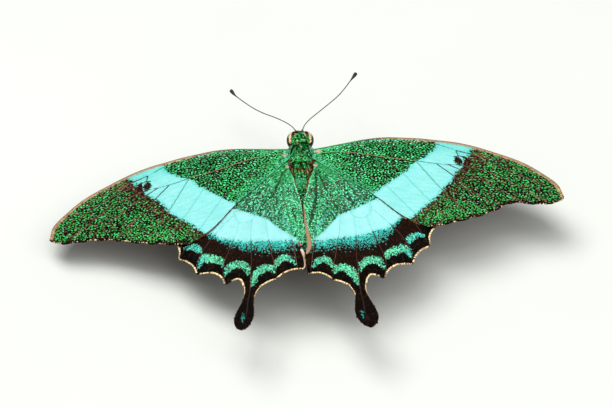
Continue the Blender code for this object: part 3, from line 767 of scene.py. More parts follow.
def fore_marks(u, v, wing, rng):
    """Markings of a forewing's upper side at points (u, v), rng None for the smooth mean of the scales."""
    dice = dice_for(rng, np.shape(u))
    inside, past = band_depth(u, v, wing)
    tooth = 0.22 * waves(u, v, 1.0, 3)
    ragged = np.where(past > -1.5, 0.7 * (dice() - 0.5) + tooth, 0.3 * (dice() - 0.5) + 0.4 * tooth)
    band = step(-0.05, 0.05, inside + ragged) if rng else step(-0.5, 0.5, inside)
    spot = stroke(u, v, [(25.0, -5.2, 0.3), (25.6, -4.2, 0.8), (25.9, -3.2, 0.45)])
    spot = np.maximum(spot, stroke(u, v, [(26.3, -5.8, 0.2), (27.2, -4.4, 0.7), (27.2, -2.0, 0.6)]))
    spot = step(-0.12, 0.12, spot + 0.35 * (dice() - 0.5))
    band = band * (1 - spot)
    rear = -stroke(u, v, FORE_DORSUM, 12)
    front = -stroke(u, v, FORE_COSTA, 12)
    root = np.hypot(u, v)
    behind_vein = v - track(FORE_VEINS["cubitus"], u)
    cell = step(-0.4, 0.6, behind_vein) * step(1.8, 3.6, rear) * step(3, 8, root)
    ahead = step(0.3, -1.0, behind_vein) * step(1.0, 2.5, front) * step(2, 5, root)
    density = 0.44 - 0.08 * ahead - 0.10 * cell + 0.10 * step(9, 1, root) + 0.03 * waves(u, v, 4.0, 8)
    density = density + 0.04 * step(3.0, 0.5, front)
    # the second step paints a highlight along the ridge within about a millimetre of the rear edge
    density = density + 0.12 * step(2.8, 0.8, rear) + 0.15 * step(1.0, 0.4, rear)
    # painted shadow: a dark line just behind the cubitus vein thins the green there
    under = stroke(u, v - 0.3, FORE_VEINS["cubitus"], 12)
    density = density * (1 - 0.7 * step(-0.25, -0.05, under))
    far = past / 3.2
    outer = 0.075 + 0.13 * step(0.4, 1.5, far) + 0.12 * step(4, 10, v) + 0.10 * step(3.5, 0.8, front)
    outer = outer + 0.05 * waves(u, v, 3.0, 9)
    density = np.where(past > -0.3, outer * step(-0.15, 0.5, far) + 0.05, density)
    density = density * (1 - 0.8 * step(1.0, 0.25, edge_gap(u, v, wing))) * (1 - 0.85 * spot)
    green = (grain(u, v * 0.8, 0.4, rng, 0.8) < density).astype(float) if rng else density
    brown = np.clip(0.15 + 0.75 * step(1.2, 0.2, far) * (past > -0.6) + 0.6 * (dice() - 0.5), 0, 1)
    brown = np.where(past < -0.6, 0.3 * dice(), brown)
    brown = np.maximum(brown, spot * (0.4 + 0.5 * dice()))
    # painted highlight: an even mint strip along the rear edge stands for the light on its ridge
    smooth = step(1.1, 0.4, rear) * (past < 0)
    pale = dice() < np.where(past > 0, 0.10, 0.12)
    hue = np.where(past > 0, 0.04, 0.2) + 0.18 * smooth + 0.25 * step(2.0, 0.6, front) * (past < 0)
    hue = hue + 0.25 * (dice() - 0.5) + 0.36 * pale + 0.35 * step(-0.9, 0.0, inside) * (past < -1)
    calm = 1 - 0.45 * step(2.0, 0.5, rear)
    lively = dice() ** np.where(past > 0, 0.8, 1.2)
    tone = np.maximum(lively * calm, 0.9 * pale * calm) if rng else 0.35 + 0 * u
    band_tone = 0.68 - 0.34 * step(-3.5, -8.5, v) - 0.35 * step(0.9, 0.0, inside)
    band_tone = band_tone + 0.12 * waves(u * 0.25, v, 1.0, 6) + 0.22 * (dice() - 0.5)
    tone = np.where(band > 0.5, band_tone, tone)
    tan = 0.85 * step(0.66, 0.44, -stroke(u, v, FORE_COSTA, 20) + 0.12 * (dice() - 0.5)) * step(6, 18, u)
    tan = np.maximum(tan, 0.35 * (dice() < 0.14) * (past > 0) * (1 - green) * (1 - band))
    for dash in TAN_DASHES:
        tan = np.maximum(tan, 0.8 * step(-0.06, 0.06, stroke(u, v, dash, 4) + 0.16 * (dice() - 0.5)))
    return band, green, brown, np.clip(hue, 0, 1), np.clip(tone, 0, 1), tan


def edge_gap(u, v, wing):
    """Rough distance from (u, v) to the outer edge of the wing."""
    steps = 60 if wing.kind == "fore" else 120
    return -stroke(u, v, wing.margin(np.linspace(0, 1, steps)), steps)


def hind_marks(u, v, wing, rng):
    """Markings of a hindwing's upper side."""
    dice = dice_for(rng, np.shape(u))
    inside, past = band_depth(u, v, wing)
    tooth = 0.12 * waves(u, v, 0.9, 13)
    ragged = np.where(past > -0.6, 0.35 * (dice() - 0.5) + tooth, 0.25 * (dice() - 0.5))
    band = step(-0.05, 0.05, inside + ragged) if rng else step(-0.4, 0.4, inside)
    front = v < track(HIND_BAND[wing.side], u)
    root = step(7.0, 1.5, np.hypot(u, v - 1))
    grey = step(-6.5, -2.0, inside) * step(1.8, 3.6, u)
    mint = step(1.2, 0.0, u) * step(8.0, 11.0, v)
    blue = stroke(u, v, [(2.6, 13.4, 0.1), (1.2, 14.3, 0.35), (0.4, 16.0, 0.45), (-1.2, 19.0, 0.3)], 8)
    blue = step(-0.3, 0.2, blue)
    blue = np.maximum(blue, 0.8 * step(-0.8, -0.1, inside) * step(7.5, 5.5, u))
    side_gap = -stroke(u, v, HIND_INNER, 16)
    hemline = 0.8 * step(0.2, 0.08, side_gap) * step(10.5, 9.0, v) * step(2.6, 3.6, v)
    base = 0.44 + 0.24 * root - 0.12 * grey + 0.16 * mint + 0.15 * blue + 0.5 * hemline
    base = base + 0.12 * waves(u, v * 0.3, 1.0, 14, 20) + 0.04 * waves(u, v, 3.0, 15, 12)
    dusty = np.interp(past, [-0.06, 0.0, 0.3, 0.6, 0.85, 1.1, 1.35], [0, 0.97, 0.8, 0.56, 0.28, 0.08, 0])
    density = np.where(front & (inside < 0), base, dusty)
    arch = np.maximum(strokes(u, v, LUNULES, 12), -9.0) + 0.24 * (dice() - 0.5)
    density = np.where(arch > -0.05, np.interp(arch, [-0.05, 0.15, 0.5], [0.38, 0.66, 0.80]), density)
    tip = 7.35 - 0.55 * wing.side
    fleck = stroke(u, v, [(tip, 37.6, 0.1), (tip + 0.1, 38.9, 0.3), (tip + 0.2, 40.0, 0.1)], 6)
    density = np.where(fleck + 0.2 * (dice() - 0.5) > 0, 0.5, density)
    # painted shade: fewer green scales and a lower tone along the folds, where shade lies in their creases
    fold_shade = step(-0.2, -0.05, strokes(u, v, HIND_FOLDS[wing.side])) * (inside < -0.2)
    blot = step(-0.08, 0.08, stroke(u, v, HIND_BLOTS[wing.side], 8) + 0.16 * (dice() - 0.5))
    density = density * (1 - 0.95 * fold_shade) * (1 - blot)
    band = band * (1 - blot)
    green = (grain(u, v * 0.6, 0.4, rng, 3.0) < density).astype(float) if rng else density
    pale = dice() < np.where(arch > -0.05, 0.18, (0.22 - 0.12 * root) * (1 - 0.8 * blue) * front)
    hue = np.where(front, 0.46 - 0.16 * root + 0.10 * grey + 0.28 * blue + 0.05 * hemline, 0.95)
    hue = np.where(arch > -0.1, 0.66 + 0.22 * step(13, 17, u) + 0.10 * step(1, 0, u), hue)
    hue = hue + 0.24 * (dice() - 0.5) + 0.2 * pale * (past < 0)
    brown = 0.8 - 0.75 * step(2.8, 1.4, edge_gap(u, v, wing)) + 0.5 * (dice() - 0.5)
    brown = np.where(front, 0.15, brown)
    brown = np.where(v > 31.0, 0.10 + 0.3 * dice(), brown)
    lively = 0.02 + (0.68 - 0.15 * root) * dice() * (1 - 0.5 * blue) * (1 - 0.6 * fold_shade)
    lively = lively + 0.12 * mint + 0.4 * hemline
    tone = np.maximum(lively, 0.9 * pale) if rng else 0.1 + 0 * u
    streak = 0.5 + 0.5 * waves(u * 1.4, v * 0.25, 0.9, 18, 20)
    dust = np.clip(1.1 - 0.9 * past, 0.1, 1) * (0.8 * dice() ** 1.5 + 0.25 * streak - 0.1)
    tone = np.where(past > 0, dust, tone)
    tone = np.where(arch > -0.1, np.maximum(0.02 + 0.5 * dice(), 0.9 * pale), tone)
    tone = np.where(v > 36.0, 0.0, tone)
    band_tone = 0.62 + 0.38 * step(0.0, 1.2, inside)
    band_tone = band_tone + 0.10 * waves(u, v * 0.15, 1.3, 16) + 0.16 * (dice() - 0.5)
    tone = np.where(band > 0.5, band_tone, tone)
    ground = front * (inside < 0) * (1 - green)
    tan = 0.3 * (dice() < 0.15) * ground * (1 - 0.8 * root)
    tan = tan + 0.12 * (dice() < 0.12) * (past > 0) * (1 - green)
    green = np.maximum(green, (0.12 + 0.14 * root) * ground * (1 - (tan > 0)))
    brown = np.where(front, 0.25 * dice(), brown)
    return band, green, np.clip(brown, 0, 1), np.clip(hue, 0, 1), np.clip(tone, 0, 1), tan


def vein_depth(u, v, wing):
    """Depth of (u, v) inside the nearest vein's line."""
    return np.maximum(strokes(u, v, VEINS[wing.kind].values(), 10), -9.0)


def upper_colours(u, v, wing, rng):
    """The marks and shade attributes of the upper side, one row of four numbers to a point each."""
    marks_of = fore_marks if wing.kind == "fore" else hind_marks
    band, green, brown, hue, tone, tan = marks_of(u, v, wing, rng)
    dice = dice_for(rng, np.shape(u))()
    vein = step(-0.16, -0.02, vein_depth(u, v, wing) + 0.05 * (dice - 0.5))
    tone = np.where(band > 0.5, np.clip(tone - 0.5 * vein, 0, 1), tone)
    green = np.where(band > 0.5, green, green * (1 - 0.5 * vein))
    brown = np.maximum(brown, 0.9 * vein * (band < 0.5))
    rose = 0.0
    if wing.name == "hindwing_left":
        rose = step(-0.05, 0.1, stroke(u, v, [(-2.0, 21.8, 0.1), (-2.25, 22.6, 0.22), (-2.5, 23.0, 0.1)], 8))
    return rows(band, green, 0, rose), rows(hue, brown, tone, np.clip(tan, 0, 1))


def under_colours(u, v, wing, rng):
    """Underside: brown dusted with tan, a paler outer field on the forewing, and on the hindwing a row of
    cream, blue-green and rust crescents."""
    throw = dice_for(rng, np.shape(u))
    dice, other = throw(), throw()
    gap = edge_gap(u, v, wing)
    if wing.kind == "fore":
        pale = step(1.2, 2.6, gap) * step(15, 7.5, gap) * step(-7, 2, v) * 0.75
        green = rose = cream = 0.0
    else:
        arch = np.maximum(strokes(u, v, LUNULES, 12), -9.0)
        pale = 0.22 * step(3, 9, gap)
        cream = step(-0.1, 0.1, arch - 0.45) * 0.9
        rose = step(-0.1, 0.1, arch) * (1 - cream) * 0.7
        green = step(-0.9, -0.2, arch) * (1 - step(-0.2, 0.0, arch)) * (dice < 0.6)
    tan = np.clip((dice < pale) * 0.8 + 0.25 * (other < 0.12), 0, 1)
    return rows(0 * u, green, cream, rose), rows(0.8, 0.55 + 0.4 * other, dice, tan)


def membrane(wing, finish):
    """The wing's skin: a fine grid over the patch, and over the tail, given its thickness by Solidify."""
    per_tooth = 20
    columns = 97 if wing.kind == "fore" else per_tooth * HIND_CELLS + 1
    a, b = np.meshgrid(np.linspace(0, 1, columns), np.linspace(0, 1, 101))
    sheets = [wing.shaped(wing.flat, a, b)]
    if wing.kind == "hind":
        across, down = np.meshgrid(np.linspace(0, 1, per_tooth + 1), np.linspace(0, 1, 49))
        sheets.append(wing.shaped(wing.tail, across, down))
    points, quads = merged([(sheet.reshape(-1, 3), grid_faces(*sheet.shape[:2])) for sheet in sheets])
    marks, shade = upper_colours(points[:, 0], points[:, 1], wing, None)
    piece = mesh_piece(wing.name + "_membrane", wing.world(points), [quads], finish, marks,
                       shade, stands_for=(wing.name,))
    weld = bmesh.new()
    weld.from_mesh(piece.data)
    bmesh.ops.remove_doubles(weld, verts=weld.verts, dist=1e-7)
    bmesh.ops.recalc_face_normals(weld, faces=weld.faces)
    if sum(f.normal.z for f in weld.faces) < 0:
        bmesh.ops.reverse_faces(weld, faces=weld.faces)
    weld.to_mesh(piece.data)
    weld.free()
    plate = piece.modifiers.new("plate", "SOLIDIFY")
    plate.thickness = MEMBRANE * MM
    plate.offset = 0
    return piece


def scale_rows(wing, patch, row, column, rng):
    """Places of the scales in staggered rows on a patch: rows at even b, scales at even distance in a row."""
    edge = np.linspace(0, 1, 200)
    mid = [wing.world(patch(np.full(200, a), edge)) for a in (0.0, 0.5, 1.0)]
    lengths = [np.linalg.norm(np.diff(m, axis=0), axis=1).sum() for m in mid]
    lines = int(max(lengths) / row)
    b = (np.arange(lines) + 0.5) / lines
    across = wing.world(patch(edge[None, :], b[:, None]))
    widths = np.linalg.norm(np.diff(across, axis=1), axis=2).sum(1)
    counts = np.maximum((widths / column).astype(int), 2)
    where = np.repeat(np.arange(lines), counts)
    rank = np.arange(len(where)) - np.repeat(np.cumsum(counts) - counts, counts)
    a = (rank + 0.25 + 0.5 * (where % 2) + 0.3 * (rng.random(len(where)) - 0.5)) / counts[where]
    b = b[where] + 0.45 * (rng.random(len(where)) - 0.5) / lines
    reach = np.interp(np.clip(a, 0, 1), [0, 0.5, 1], lengths)
    return np.clip(a, 0.002, 0.998), np.clip(b, 0.004, 0.995), reach / max(lengths), (1 - b) * reach


def wing_scales(wing, finish, upper=True):
    """Overlapping scales in rows, roots inwards, over one side of the wing."""
    rng = np.random.default_rng((11 if upper else 21) + 2 * (wing.kind == "hind") + (wing.side > 0))
    steps = SCALE_STEP[wing.kind] if upper else UNDER_STEP
    patches = [(wing.flat, steps)]
    if wing.kind == "hind":
        patches.append((wing.tail, np.minimum(steps, TAIL_STEP)))
    coat = Coat()
    sign, lift, colours = (1, UPPER_LIFT, upper_colours) if upper else (-1, UNDER_LIFT, under_colours)
    for patch, (row, column) in patches:
        a, b, share, left = scale_rows(wing, patch, row, column, rng)
        here, way, across, normal = wing.frame(patch, a, b)
        flat = patch(a, b)
        n = len(a)
        turn = rng.normal(0, 0.16, n)[:, None]
        way, across = unit(way + turn * across), unit(across - turn * way)
        length = SCALE_LENGTH * row * np.sqrt(share) * rng.uniform(0.85, 1.2, n)
        length = np.minimum(length, left + 0.12)
        width, tilt = SCALE_WIDTH * column * rng.uniform(0.85, 1.15, n), rng.uniform(0.06, 0.24, n)
        scales = vanes(here, way, across, normal * sign, length, width, tilt, lift)
        marks, shade = colours(flat[:, 0], flat[:, 1], wing, rng)
        coat.add(scales, marks, shade, wing.unwrap(flat), upper == (wing.side < 0))
    return coat.piece(wing.name + ("_scales" if upper else "_under_scales"), finish, "wing_scales")


def vein_tints(name, wing, u, v):
    """Marks and shade of a vein: leaf green at the root, dark further out, a line of deeper turquoise in the
    band and rust behind it; the bold veins of the forewing stay dark in the band."""
    marks, shade = np.zeros((len(u), 4)), np.zeros((len(u), 4))
    inside, past = band_depth(u, v, wing)
    band = step(-0.2, 0.2, inside)
    root = step(8, 3, np.hypot(u, v))
    shade[:, 1] = 1.0
    if wing.kind == "fore":
        dark = name in DARK_IN_BAND
        before = (past < 0) * (1 - band)
        marks[:, 0] = (0.0 if dark else 0.45 if name == "cubitus_2" else 1.0) * band
        marks[:, 1] = (0.85 * root + 0.3 * (name == "cubitus")) * before
        worn = {"radius": 0.2, "cubitus": 0.6}.get(name, 0.05)
        tan = worn * before * (1 - 0.8 * root) + 0.2 * (past > 0) * (1 - band)
        shade[:, 2] = 0.35 + (0.0 if dark else 0.1) * band + 0.2 * before
        marks[:, 3] = 0.3 * tan
    else:
        before = (v < track(HIND_BAND[wing.side], u)) * (1 - band)
        behind = (1 - band) * (1 - before)
        marks[:, 0] = band
        marks[:, 1] = 0.85 * before
        rust = {"cubitus_1": 0.18, "cubitus_2": 0.3, "media_3": 0.18 * step(27, 30, v)}.get(name, 0.03)
        tan = rust * behind * step(33, 31, v)
        shade[:, 2] = 0.62 * band + 0.2 * before + 0.35 * behind
        shade[:, 2] *= 1 - 0.7 * step(31, 33, v)
        marks[:, 3] = 0.05 * behind * step(33, 31, v)
    shade[:, 0] = 0.25
    shade[:, 3] = tan
    return marks, shade


def rib_tints(sort, u, inner):
    """Marks and shade of the forewing's edge ribs: the front one tan on top and dark along its outer side,
    the rear one a green ridge that turns brown, with a painted highlight on all but its side away from the
    wing, which is painted dark as shade; inner says how far a point faces the wing."""
    marks, shade = np.zeros((len(u), 4)), np.zeros((len(u), 4))
    if sort == "front":
        marks[:, 1] = 0.6 * step(14, 3, u)
        shade[:, 1:3] = 0.7, 0.55
        shade[:, 3] = 0.9 * step(4, 17, u) * step(-0.4, 0.1, inner)
    else:
        # painted highlight and shade: the rear rib is bright green except on its side away from the wing,
        # left dark
        lit = step(-0.6, -0.1, inner)
        marks[:, 1] = 0.9 * step(14, 9, u) * lit
        shade[:, 0], shade[:, 1] = 0.4, 0.7
        shade[:, 2] = 0.3 + 0.7 * step(13, 8, u) * lit
        shade[:, 3] = 0.1 * step(9, 13, u) + 0.4 * step(18, 22, u)
    return marks, shade


def wing_veins(wing, finish):
    """Round ribs along the veins; the forewing also has a broad flattened front rib and a fine rear one."""
    parts, marks, shade = [], [], []
    rng = np.random.default_rng(83 + wing.side)
    thick = BOLD_VEINS if wing.kind == "fore" else ()
    jobs = [(name, points, 0.12 if name in thick else 0.1, 0.07) for name, points in VEINS[wing.kind].items()]
    if wing.kind == "fore":
        jobs += [("front", FORE_COSTA, 0.33, 0.24), ("rear", FORE_DORSUM, 0.15, 0.08)]
    a, b = np.meshgrid(np.linspace(0, 1, 81), np.linspace(0, 1, 81))
    field = wing.shaped(wing.flat, a, b).reshape(-1, 3)
    sides = 8
    turn = np.arange(sides) / sides * 2 * np.pi
    for name, points, start, end in jobs:
        rib = name in ("front", "rear")
        steps = 200 if rib else 44
        s = np.linspace(0, 1, steps)
        uv = line(points)(s)
        gap = ((uv[:, None, :2] - field[None, :, :2]) ** 2).sum(2)
        near = np.argsort(gap, 1)[:, :4]
        weight = 1 / (np.take_along_axis(gap, near, 1) + 1e-6)
        rise = (field[near, 2] * weight).sum(1) / weight.sum(1)
        rise = np.where(uv[:, 1] > 31.5, 0.0, rise) + (0.0 if rib else 0.09)
        path = wing.world(np.concatenate([uv, rise[:, None]], 1))
        radius = (start + (end - start) * s) * (1 - 0.6 * step(0.94, 1.0, s))
        radius = radius + 0.05 * step(30.5, 33, uv[:, 1]) * step(1.0, 0.9, s)
        p, q, t = tube(path, radius, sides, flat={"front": 0.62, "rear": 0.7}.get(name, 1.0))
        parts.append((p, q, t))
        u, v = np.repeat(uv[:, 0], sides), np.repeat(uv[:, 1], sides)
        inner = np.tile(np.cos(turn) * wing.side, steps)
        m, sh = rib_tints(name, u, inner) if rib else vein_tints(name, wing, u, v)
        if rib:
            sh[:, 2] = np.clip(sh[:, 2] + rng.uniform(-0.2, 0.25, len(sh)), 0, 1)
            m[:, 1] *= rng.uniform(0.8, 1.0, len(m))
            sh[:, 3] *= rng.uniform(0.8, 1.0, len(m))
        marks.append(capped(m))
        shade.append(capped(sh))
    points, *faces = merged(parts)
    return mesh_piece(wing.name + "_veins", points, faces, finish, np.concatenate(marks),
                      np.concatenate(shade))


def inner_hem(wing, route, finish, colours):
    """Rolled inner edge of a hindwing: a flattened tube along (u, v, rise, half width), with a round end."""
    s = np.linspace(0, 1, 120)
    p = line(route)(s)
    ends = np.sqrt(np.clip(s / 0.02, 0.05, 1)) * np.sqrt(np.clip((1 - s) / 0.05, 0.05, 1))
    points, q, t = tube(wing.world(p[:, :3]), p[:, 3] * ends, 16, flat=0.45)
    value = capped(np.repeat(s, 16))
    marks, shade = np.zeros((len(value), 4)), np.zeros((len(value), 4))
    for k, (array, column) in enumerate([(marks, 1), (marks, 2), (shade, 3)]):
        array[:, column] = np.interp(value, [0, 0.25, 0.5, 0.75, 1], colours[k])
    shade[:, 0], shade[:, 1], shade[:, 2] = 0.5, 0.8, 0.5
    return mesh_piece(wing.name + "_hem", points, [q, t], finish, marks, shade)


def fringe_lines(wing):
    """The edges that carry a fringe, each with its share of cream: all but the forewing's ends, and between
    the hindwing's teeth and round its tail."""
    if wing.kind == "fore":
        a = np.linspace(0.02, 0.995, 700)
        return [(wing.margin(a), 0.35 * np.abs(np.sin(np.pi * a * FORE_SCALLOPS)) ** 2, False)]
    lines = []
    for k in range(HIND_CELLS):
        if k == TAIL_TOOTH:
            down = np.linspace(0, 1, 420)
            for across in (0.0, 1.0):
                edge = wing.tail(np.full(420, across), np.linspace(0.0, 0.97, 420))[:, :2]
                order = -1 if across else 1
                lines.append((edge[::order], 0.9 * step(0.5, 0.1, down[::order]), True))
            continue
        t = np.linspace(0, 1, 190)
        pale = 0.95 * np.sin(np.pi * t) ** 0.35 if k != TAIL_TOOTH - 1 else step(0.05, 0.3, t)
        pale = np.maximum(pale, step(0.75, 0.1, t)) if k == TAIL_TOOTH + 1 else pale
        lines.append((wing.margin((k + t * 0.9999) / HIND_CELLS), pale, False))
    return lines


def fringe(wing, finish):
    """Fine scales that stand out from the margin: cream in the hollows and dark at the teeth."""
    rng = np.random.default_rng(31 + 2 * (wing.kind == "hind") + (wing.side > 0))
    coat = Coat()
    for edge, pale, on_tail in fringe_lines(wing):
        way = unit(np.gradient(edge, axis=0))
        out = np.stack([way[:, 1], -way[:, 0]], 1)
        centre = np.array([7.4, 37.0] if on_tail else [20.0, 0.0] if wing.kind == "fore" else [8.0, 14.0])
        out *= np.sign(((edge - centre) * out).sum(1, keepdims=True).mean() + 1e-9)
        n = len(edge)
        root = np.concatenate([edge - 0.12 * out, rng.uniform(-0.03, 0.04, (n, 1))], 1)
        here = wing.world(root)
        away = unit(wing.world(root + np.concatenate([out, np.zeros((n, 1))], 1)) - here)
        normal = np.broadcast_to(wing.turn[:, 2], (n, 3))
        lean = rng.normal(0, 0.15, n)[:, None]
        side = unit(np.cross(away, normal))
        away = unit(away + lean * side)
        long = rng.uniform(0.4, 0.56, n) * (0.32 + 0.33 * pale if on_tail else 1.0)
        scales = vanes(here, away, side, normal, long, 0.14, rng.uniform(-0.05, 0.2, n))
        cream = rng.random(n) < pale
        coat.add(scales, rows(0, 0, cream, 0), rows(0, 0.4 + 0.4 * rng.random(n), rng.random(n), 0),
                 wing.unwrap(edge), wing.side < 0)
    return coat.piece(wing.name + "_fringe", finish, "wing_scales")


def inner_hair(wing, finish):
    """Hair along a hindwing's inner edge beside the abdomen: rust near the root, then pale mint and cream."""
    rng = np.random.default_rng(37 + (wing.side > 0))
    n = INNER_HAIRS
    b = rng.uniform(0.0, 0.46, n)
    edge = wing.inner(b)
    along = unit(wing.inner(b + 0.01) - edge)
    inwards = np.stack([along[:, 1], -along[:, 0]], 1)
    inwards *= -np.sign(inwards[:, :1])
    zero = np.zeros((n, 1))
    root = np.concatenate([edge - inwards * rng.uniform(0.0, 0.12, n)[:, None], zero + 0.03], 1)
    here = wing.world(root)
    back = unit(wing.world(root + np.concatenate([along, zero], 1)) - here)
    aside = unit(wing.world(root + np.concatenate([inwards, zero], 1)) - here)
    normal = np.broadcast_to(wing.turn[:, 2], (n, 3))
    lean, rise = rng.uniform(-0.3, 0.4, n)[:, None], rng.uniform(0.0, 0.35, n)[:, None]
    way = unit(back * 0.8 + aside * lean + normal * rise)
    coat = Coat()
    bend = np.broadcast_to([0, 0, -0.1], (n, 3))
    shapes = hairs(here, way, bend, rng.uniform(0.25, 0.5, n) * (1.2 - b), 0.028)
    rust = rng.random(n) < 0.4 * step(6.0, 3.0, edge[:, 1])
    pale = ~rust & (rng.random(n) < 0.7)
    marks = rows(0, ~rust & ~pale, pale * rng.uniform(0.2, 0.8, n), 0)
    marks[:, 1] += 0.9 * pale
    shade = rows(0.6 + 0.4 * rust, 0.8, rng.uniform(0.2, 0.8, n), 0.75 * rust)
    coat.add(shapes, marks, shade, wing.unwrap(edge))
    return coat.piece(wing.name + "_inner_hair", finish, "wing_scales")


# ---------------------------------------------------------------- body
# y, height of the middle, half width and half height of the skin, from the face to the tip of the abdomen
BODY = [(9.05, -2.45, 0.25, 0.3), (8.95, -2.45, 0.6, 0.8), (8.6, -2.42, 1.0, 1.25), (8.0, -2.4, 1.3, 1.6),
        (7.3, -2.36, 1.42, 1.74), (6.5, -2.3, 1.42, 1.66), (5.8, -2.2, 1.28, 1.4), (5.2, -2.12, 1.0, 1.1),
        (4.8, -2.1, 0.8, 0.88), (4.4, -2.1, 1.05, 1.1), (3.95, -2.1, 1.6, 1.55), (3.3, -2.05, 2.1, 2.15),
        (2.2, -1.98, 2.42, 2.72), (0.5, -1.92, 2.5, 3.02), (-1.2, -1.97, 2.42, 2.95),
        (-2.2, -2.02, 2.2, 2.66), (-3.0, -2.12, 1.85, 2.15), (-3.6, -2.2, 1.42, 1.55),
        (-4.05, -2.27, 1.2, 1.22), (-4.6, -2.34, 1.42, 1.38), (-6.0, -2.5, 1.76, 1.72),
        (-8.5, -2.9, 2.02, 1.97), (-11.5, -3.6, 2.02, 1.97), (-14.5, -4.5, 1.77, 1.74),
        (-17.0, -5.3, 1.32, 1.27), (-19.0, -5.9, 0.78, 0.78), (-19.7, -6.12, 0.45, 0.45),
        (-19.9, -6.18, 0.2, 0.2)]
SQUARENESS = 2.25                   # the power q of the body's section
SEGMENTS = [-4.5, -6.4, -8.5, -10.6, -12.6, -14.5, -16.3, -17.9, -19.1]
# brush strokes on the upper side: across, along and half width; first the dark seams at the waist, beside the
# back, between its shields, on the neck and on the brow
WAIST_SEAM = [(-1.1, -3.0, 0.16), (-0.5, -3.2, 0.2), (0.1, -3.3, 0.22), (0.75, -3.25, 0.22),
              (1.4, -2.95, 0.18)]
DARK_LINES = [WAIST_SEAM,
              [(-1.1, 3.1, 0.1), (-1.28, 2.3, 0.15), (-1.5, 1.5, 0.15), (-1.65, 0.8, 0.15),
               (-1.95, 0.3, 0.14)],
              [(1.15, 3.1, 0.1), (1.35, 2.3, 0.15), (1.55, 1.5, 0.18), (1.78, 1.0, 0.2), (2.15, 0.5, 0.18)],
              [(-0.82, 1.35, 0.1), (-0.78, 1.1, 0.12)], [(0.68, 1.75, 0.14), (0.74, 1.5, 0.12)],
              [(-0.36, 0.6, 0.09), (-0.3, 0.35, 0.09)], [(0.24, 0.6, 0.08), (0.22, 0.35, 0.08)],
              [(0.34, -0.3, 0.08), (0.33, -0.55, 0.08)], [(-1.3, -0.3, 0.07), (-1.35, -0.8, 0.08)],
              [(-1.4, -1.8, 0.1), (-0.9, -2.0, 0.12), (-0.42, -2.02, 0.08)],
              [(0.3, -2.02, 0.08), (0.75, -2.0, 0.13), (1.25, -1.8, 0.12)],
              [(-0.04, -2.45, 0.13), (0.02, -2.8, 0.13)], [(-1.15, -2.7, 0.1), (-1.3, -2.9, 0.14)],
              [(1.55, -2.2, 0.16), (1.95, -1.8, 0.2)], [(-1.5, -2.6, 0.14), (-1.95, -1.95, 0.2)],
              [(-0.15, -4.25, 0.1), (0.2, -4.3, 0.12)],
              [(-1.0, 5.5, 0.12), (-0.4, 5.2, 0.16), (0.06, 5.22, 0.18), (0.52, 5.3, 0.16), (1.2, 5.8, 0.12)],
              [(-1.25, 7.2, 0.16), (-0.92, 7.6, 0.14), (-0.6, 8.15, 0.12)],
              [(1.25, 7.3, 0.16), (0.92, 7.6, 0.14), (0.56, 8.1, 0.12)],
              [(1.2, 6.95, 0.16), (1.35, 6.6, 0.14)], [(-1.3, 7.0, 0.12), (-1.42, 6.6, 0.1)],
              [(-0.55, 6.75, 0.09), (-0.4, 6.65, 0.09)], [(0.8, 6.75, 0.1), (0.9, 6.5, 0.1)],
              [(-1.1, 6.35, 0.08), (-0.8, 6.1, 0.1), (-0.25, 5.92, 0.1)],
              [(0.8, 6.15, 0.06), (0.4, 6.45, 0.07)]]
GLOW_LINES = [[(-1.63, -1.45, 0.08), (-0.95, -1.74, 0.13), (-0.38, -1.78, 0.13), (0.43, -1.78, 0.13),
               (1.23, -1.5, 0.14), (1.8, -0.95, 0.1)],
              [(-1.05, 0.2, 0.14), (-1.0, -0.5, 0.24), (-0.55, -1.35, 0.26)],
              [(0.6, 0.3, 0.1), (0.6, -0.6, 0.2), (1.3, -1.15, 0.24)], [(-0.7, 0.4, 0.1), (-0.62, 0.2, 0.12)],
              [(-0.9, -2.4, 0.2), (-0.6, -2.5, 0.22)], [(0.7, -2.3, 0.2), (1.0, -2.4, 0.18)],
              [(-0.42, -2.85, 0.12), (-0.35, -2.9, 0.12)], [(1.05, -2.85, 0.14), (1.15, -2.85, 0.12)],
              [(-1.2, 6.85, 0.08), (-0.85, 6.6, 0.13), (-0.55, 6.3, 0.12)],
              [(-0.05, 6.25, 0.08), (0.3, 6.18, 0.13), (0.6, 6.05, 0.1)],
              [(-1.4, 6.2, 0.08), (-0.9, 5.8, 0.12), (-0.28, 5.58, 0.14), (0.42, 5.85, 0.12)],
              [(1.1, 6.3, 0.12), (1.4, 6.2, 0.1)]]
PALE_LINES = [[(-1.2, 1.5, 0.05), (-1.42, 0.75, 0.1), (-1.68, 0.0, 0.06)],
              [(0.85, 2.3, 0.05), (1.1, 1.6, 0.13), (1.3, 1.1, 0.05)],
              [(1.45, 0.2, 0.05), (1.48, -0.5, 0.06)], [(-0.66, 2.1, 0.1), (-0.7, 2.2, 0.1)],
              [(-0.3, 2.5, 0.12), (-0.2, 2.6, 0.1)], [(0.5, 1.85, 0.1), (0.45, 2.0, 0.08)],
              [(1.5, 2.7, 0.1), (1.6, 2.4, 0.12)], [(-1.6, -0.6, 0.14), (-1.62, -0.9, 0.14)]]
RUST_LINES = [[(-0.38, -2.05, 0.12), (0.25, -2.02, 0.12)], [(0.15, -3.32, 0.1), (0.5, -3.32, 0.12)],
              [(1.5, -1.65, 0.1), (1.95, -1.35, 0.16)], [(1.6, -2.8, 0.14), (1.7, -2.65, 0.14)],
              [(-2.1, -1.25, 0.14), (-1.75, -1.8, 0.12)], [(-1.85, -2.6, 0.14), (-1.95, -2.4, 0.14)],
              [(-0.95, 5.4, 0.1), (-0.5, 5.28, 0.1)], [(0.95, 5.5, 0.08), (0.8, 5.4, 0.08)],
              [(-1.3, 7.2, 0.14), (-0.85, 7.5, 0.1)], [(1.3, 7.3, 0.14), (0.85, 7.5, 0.1)]]


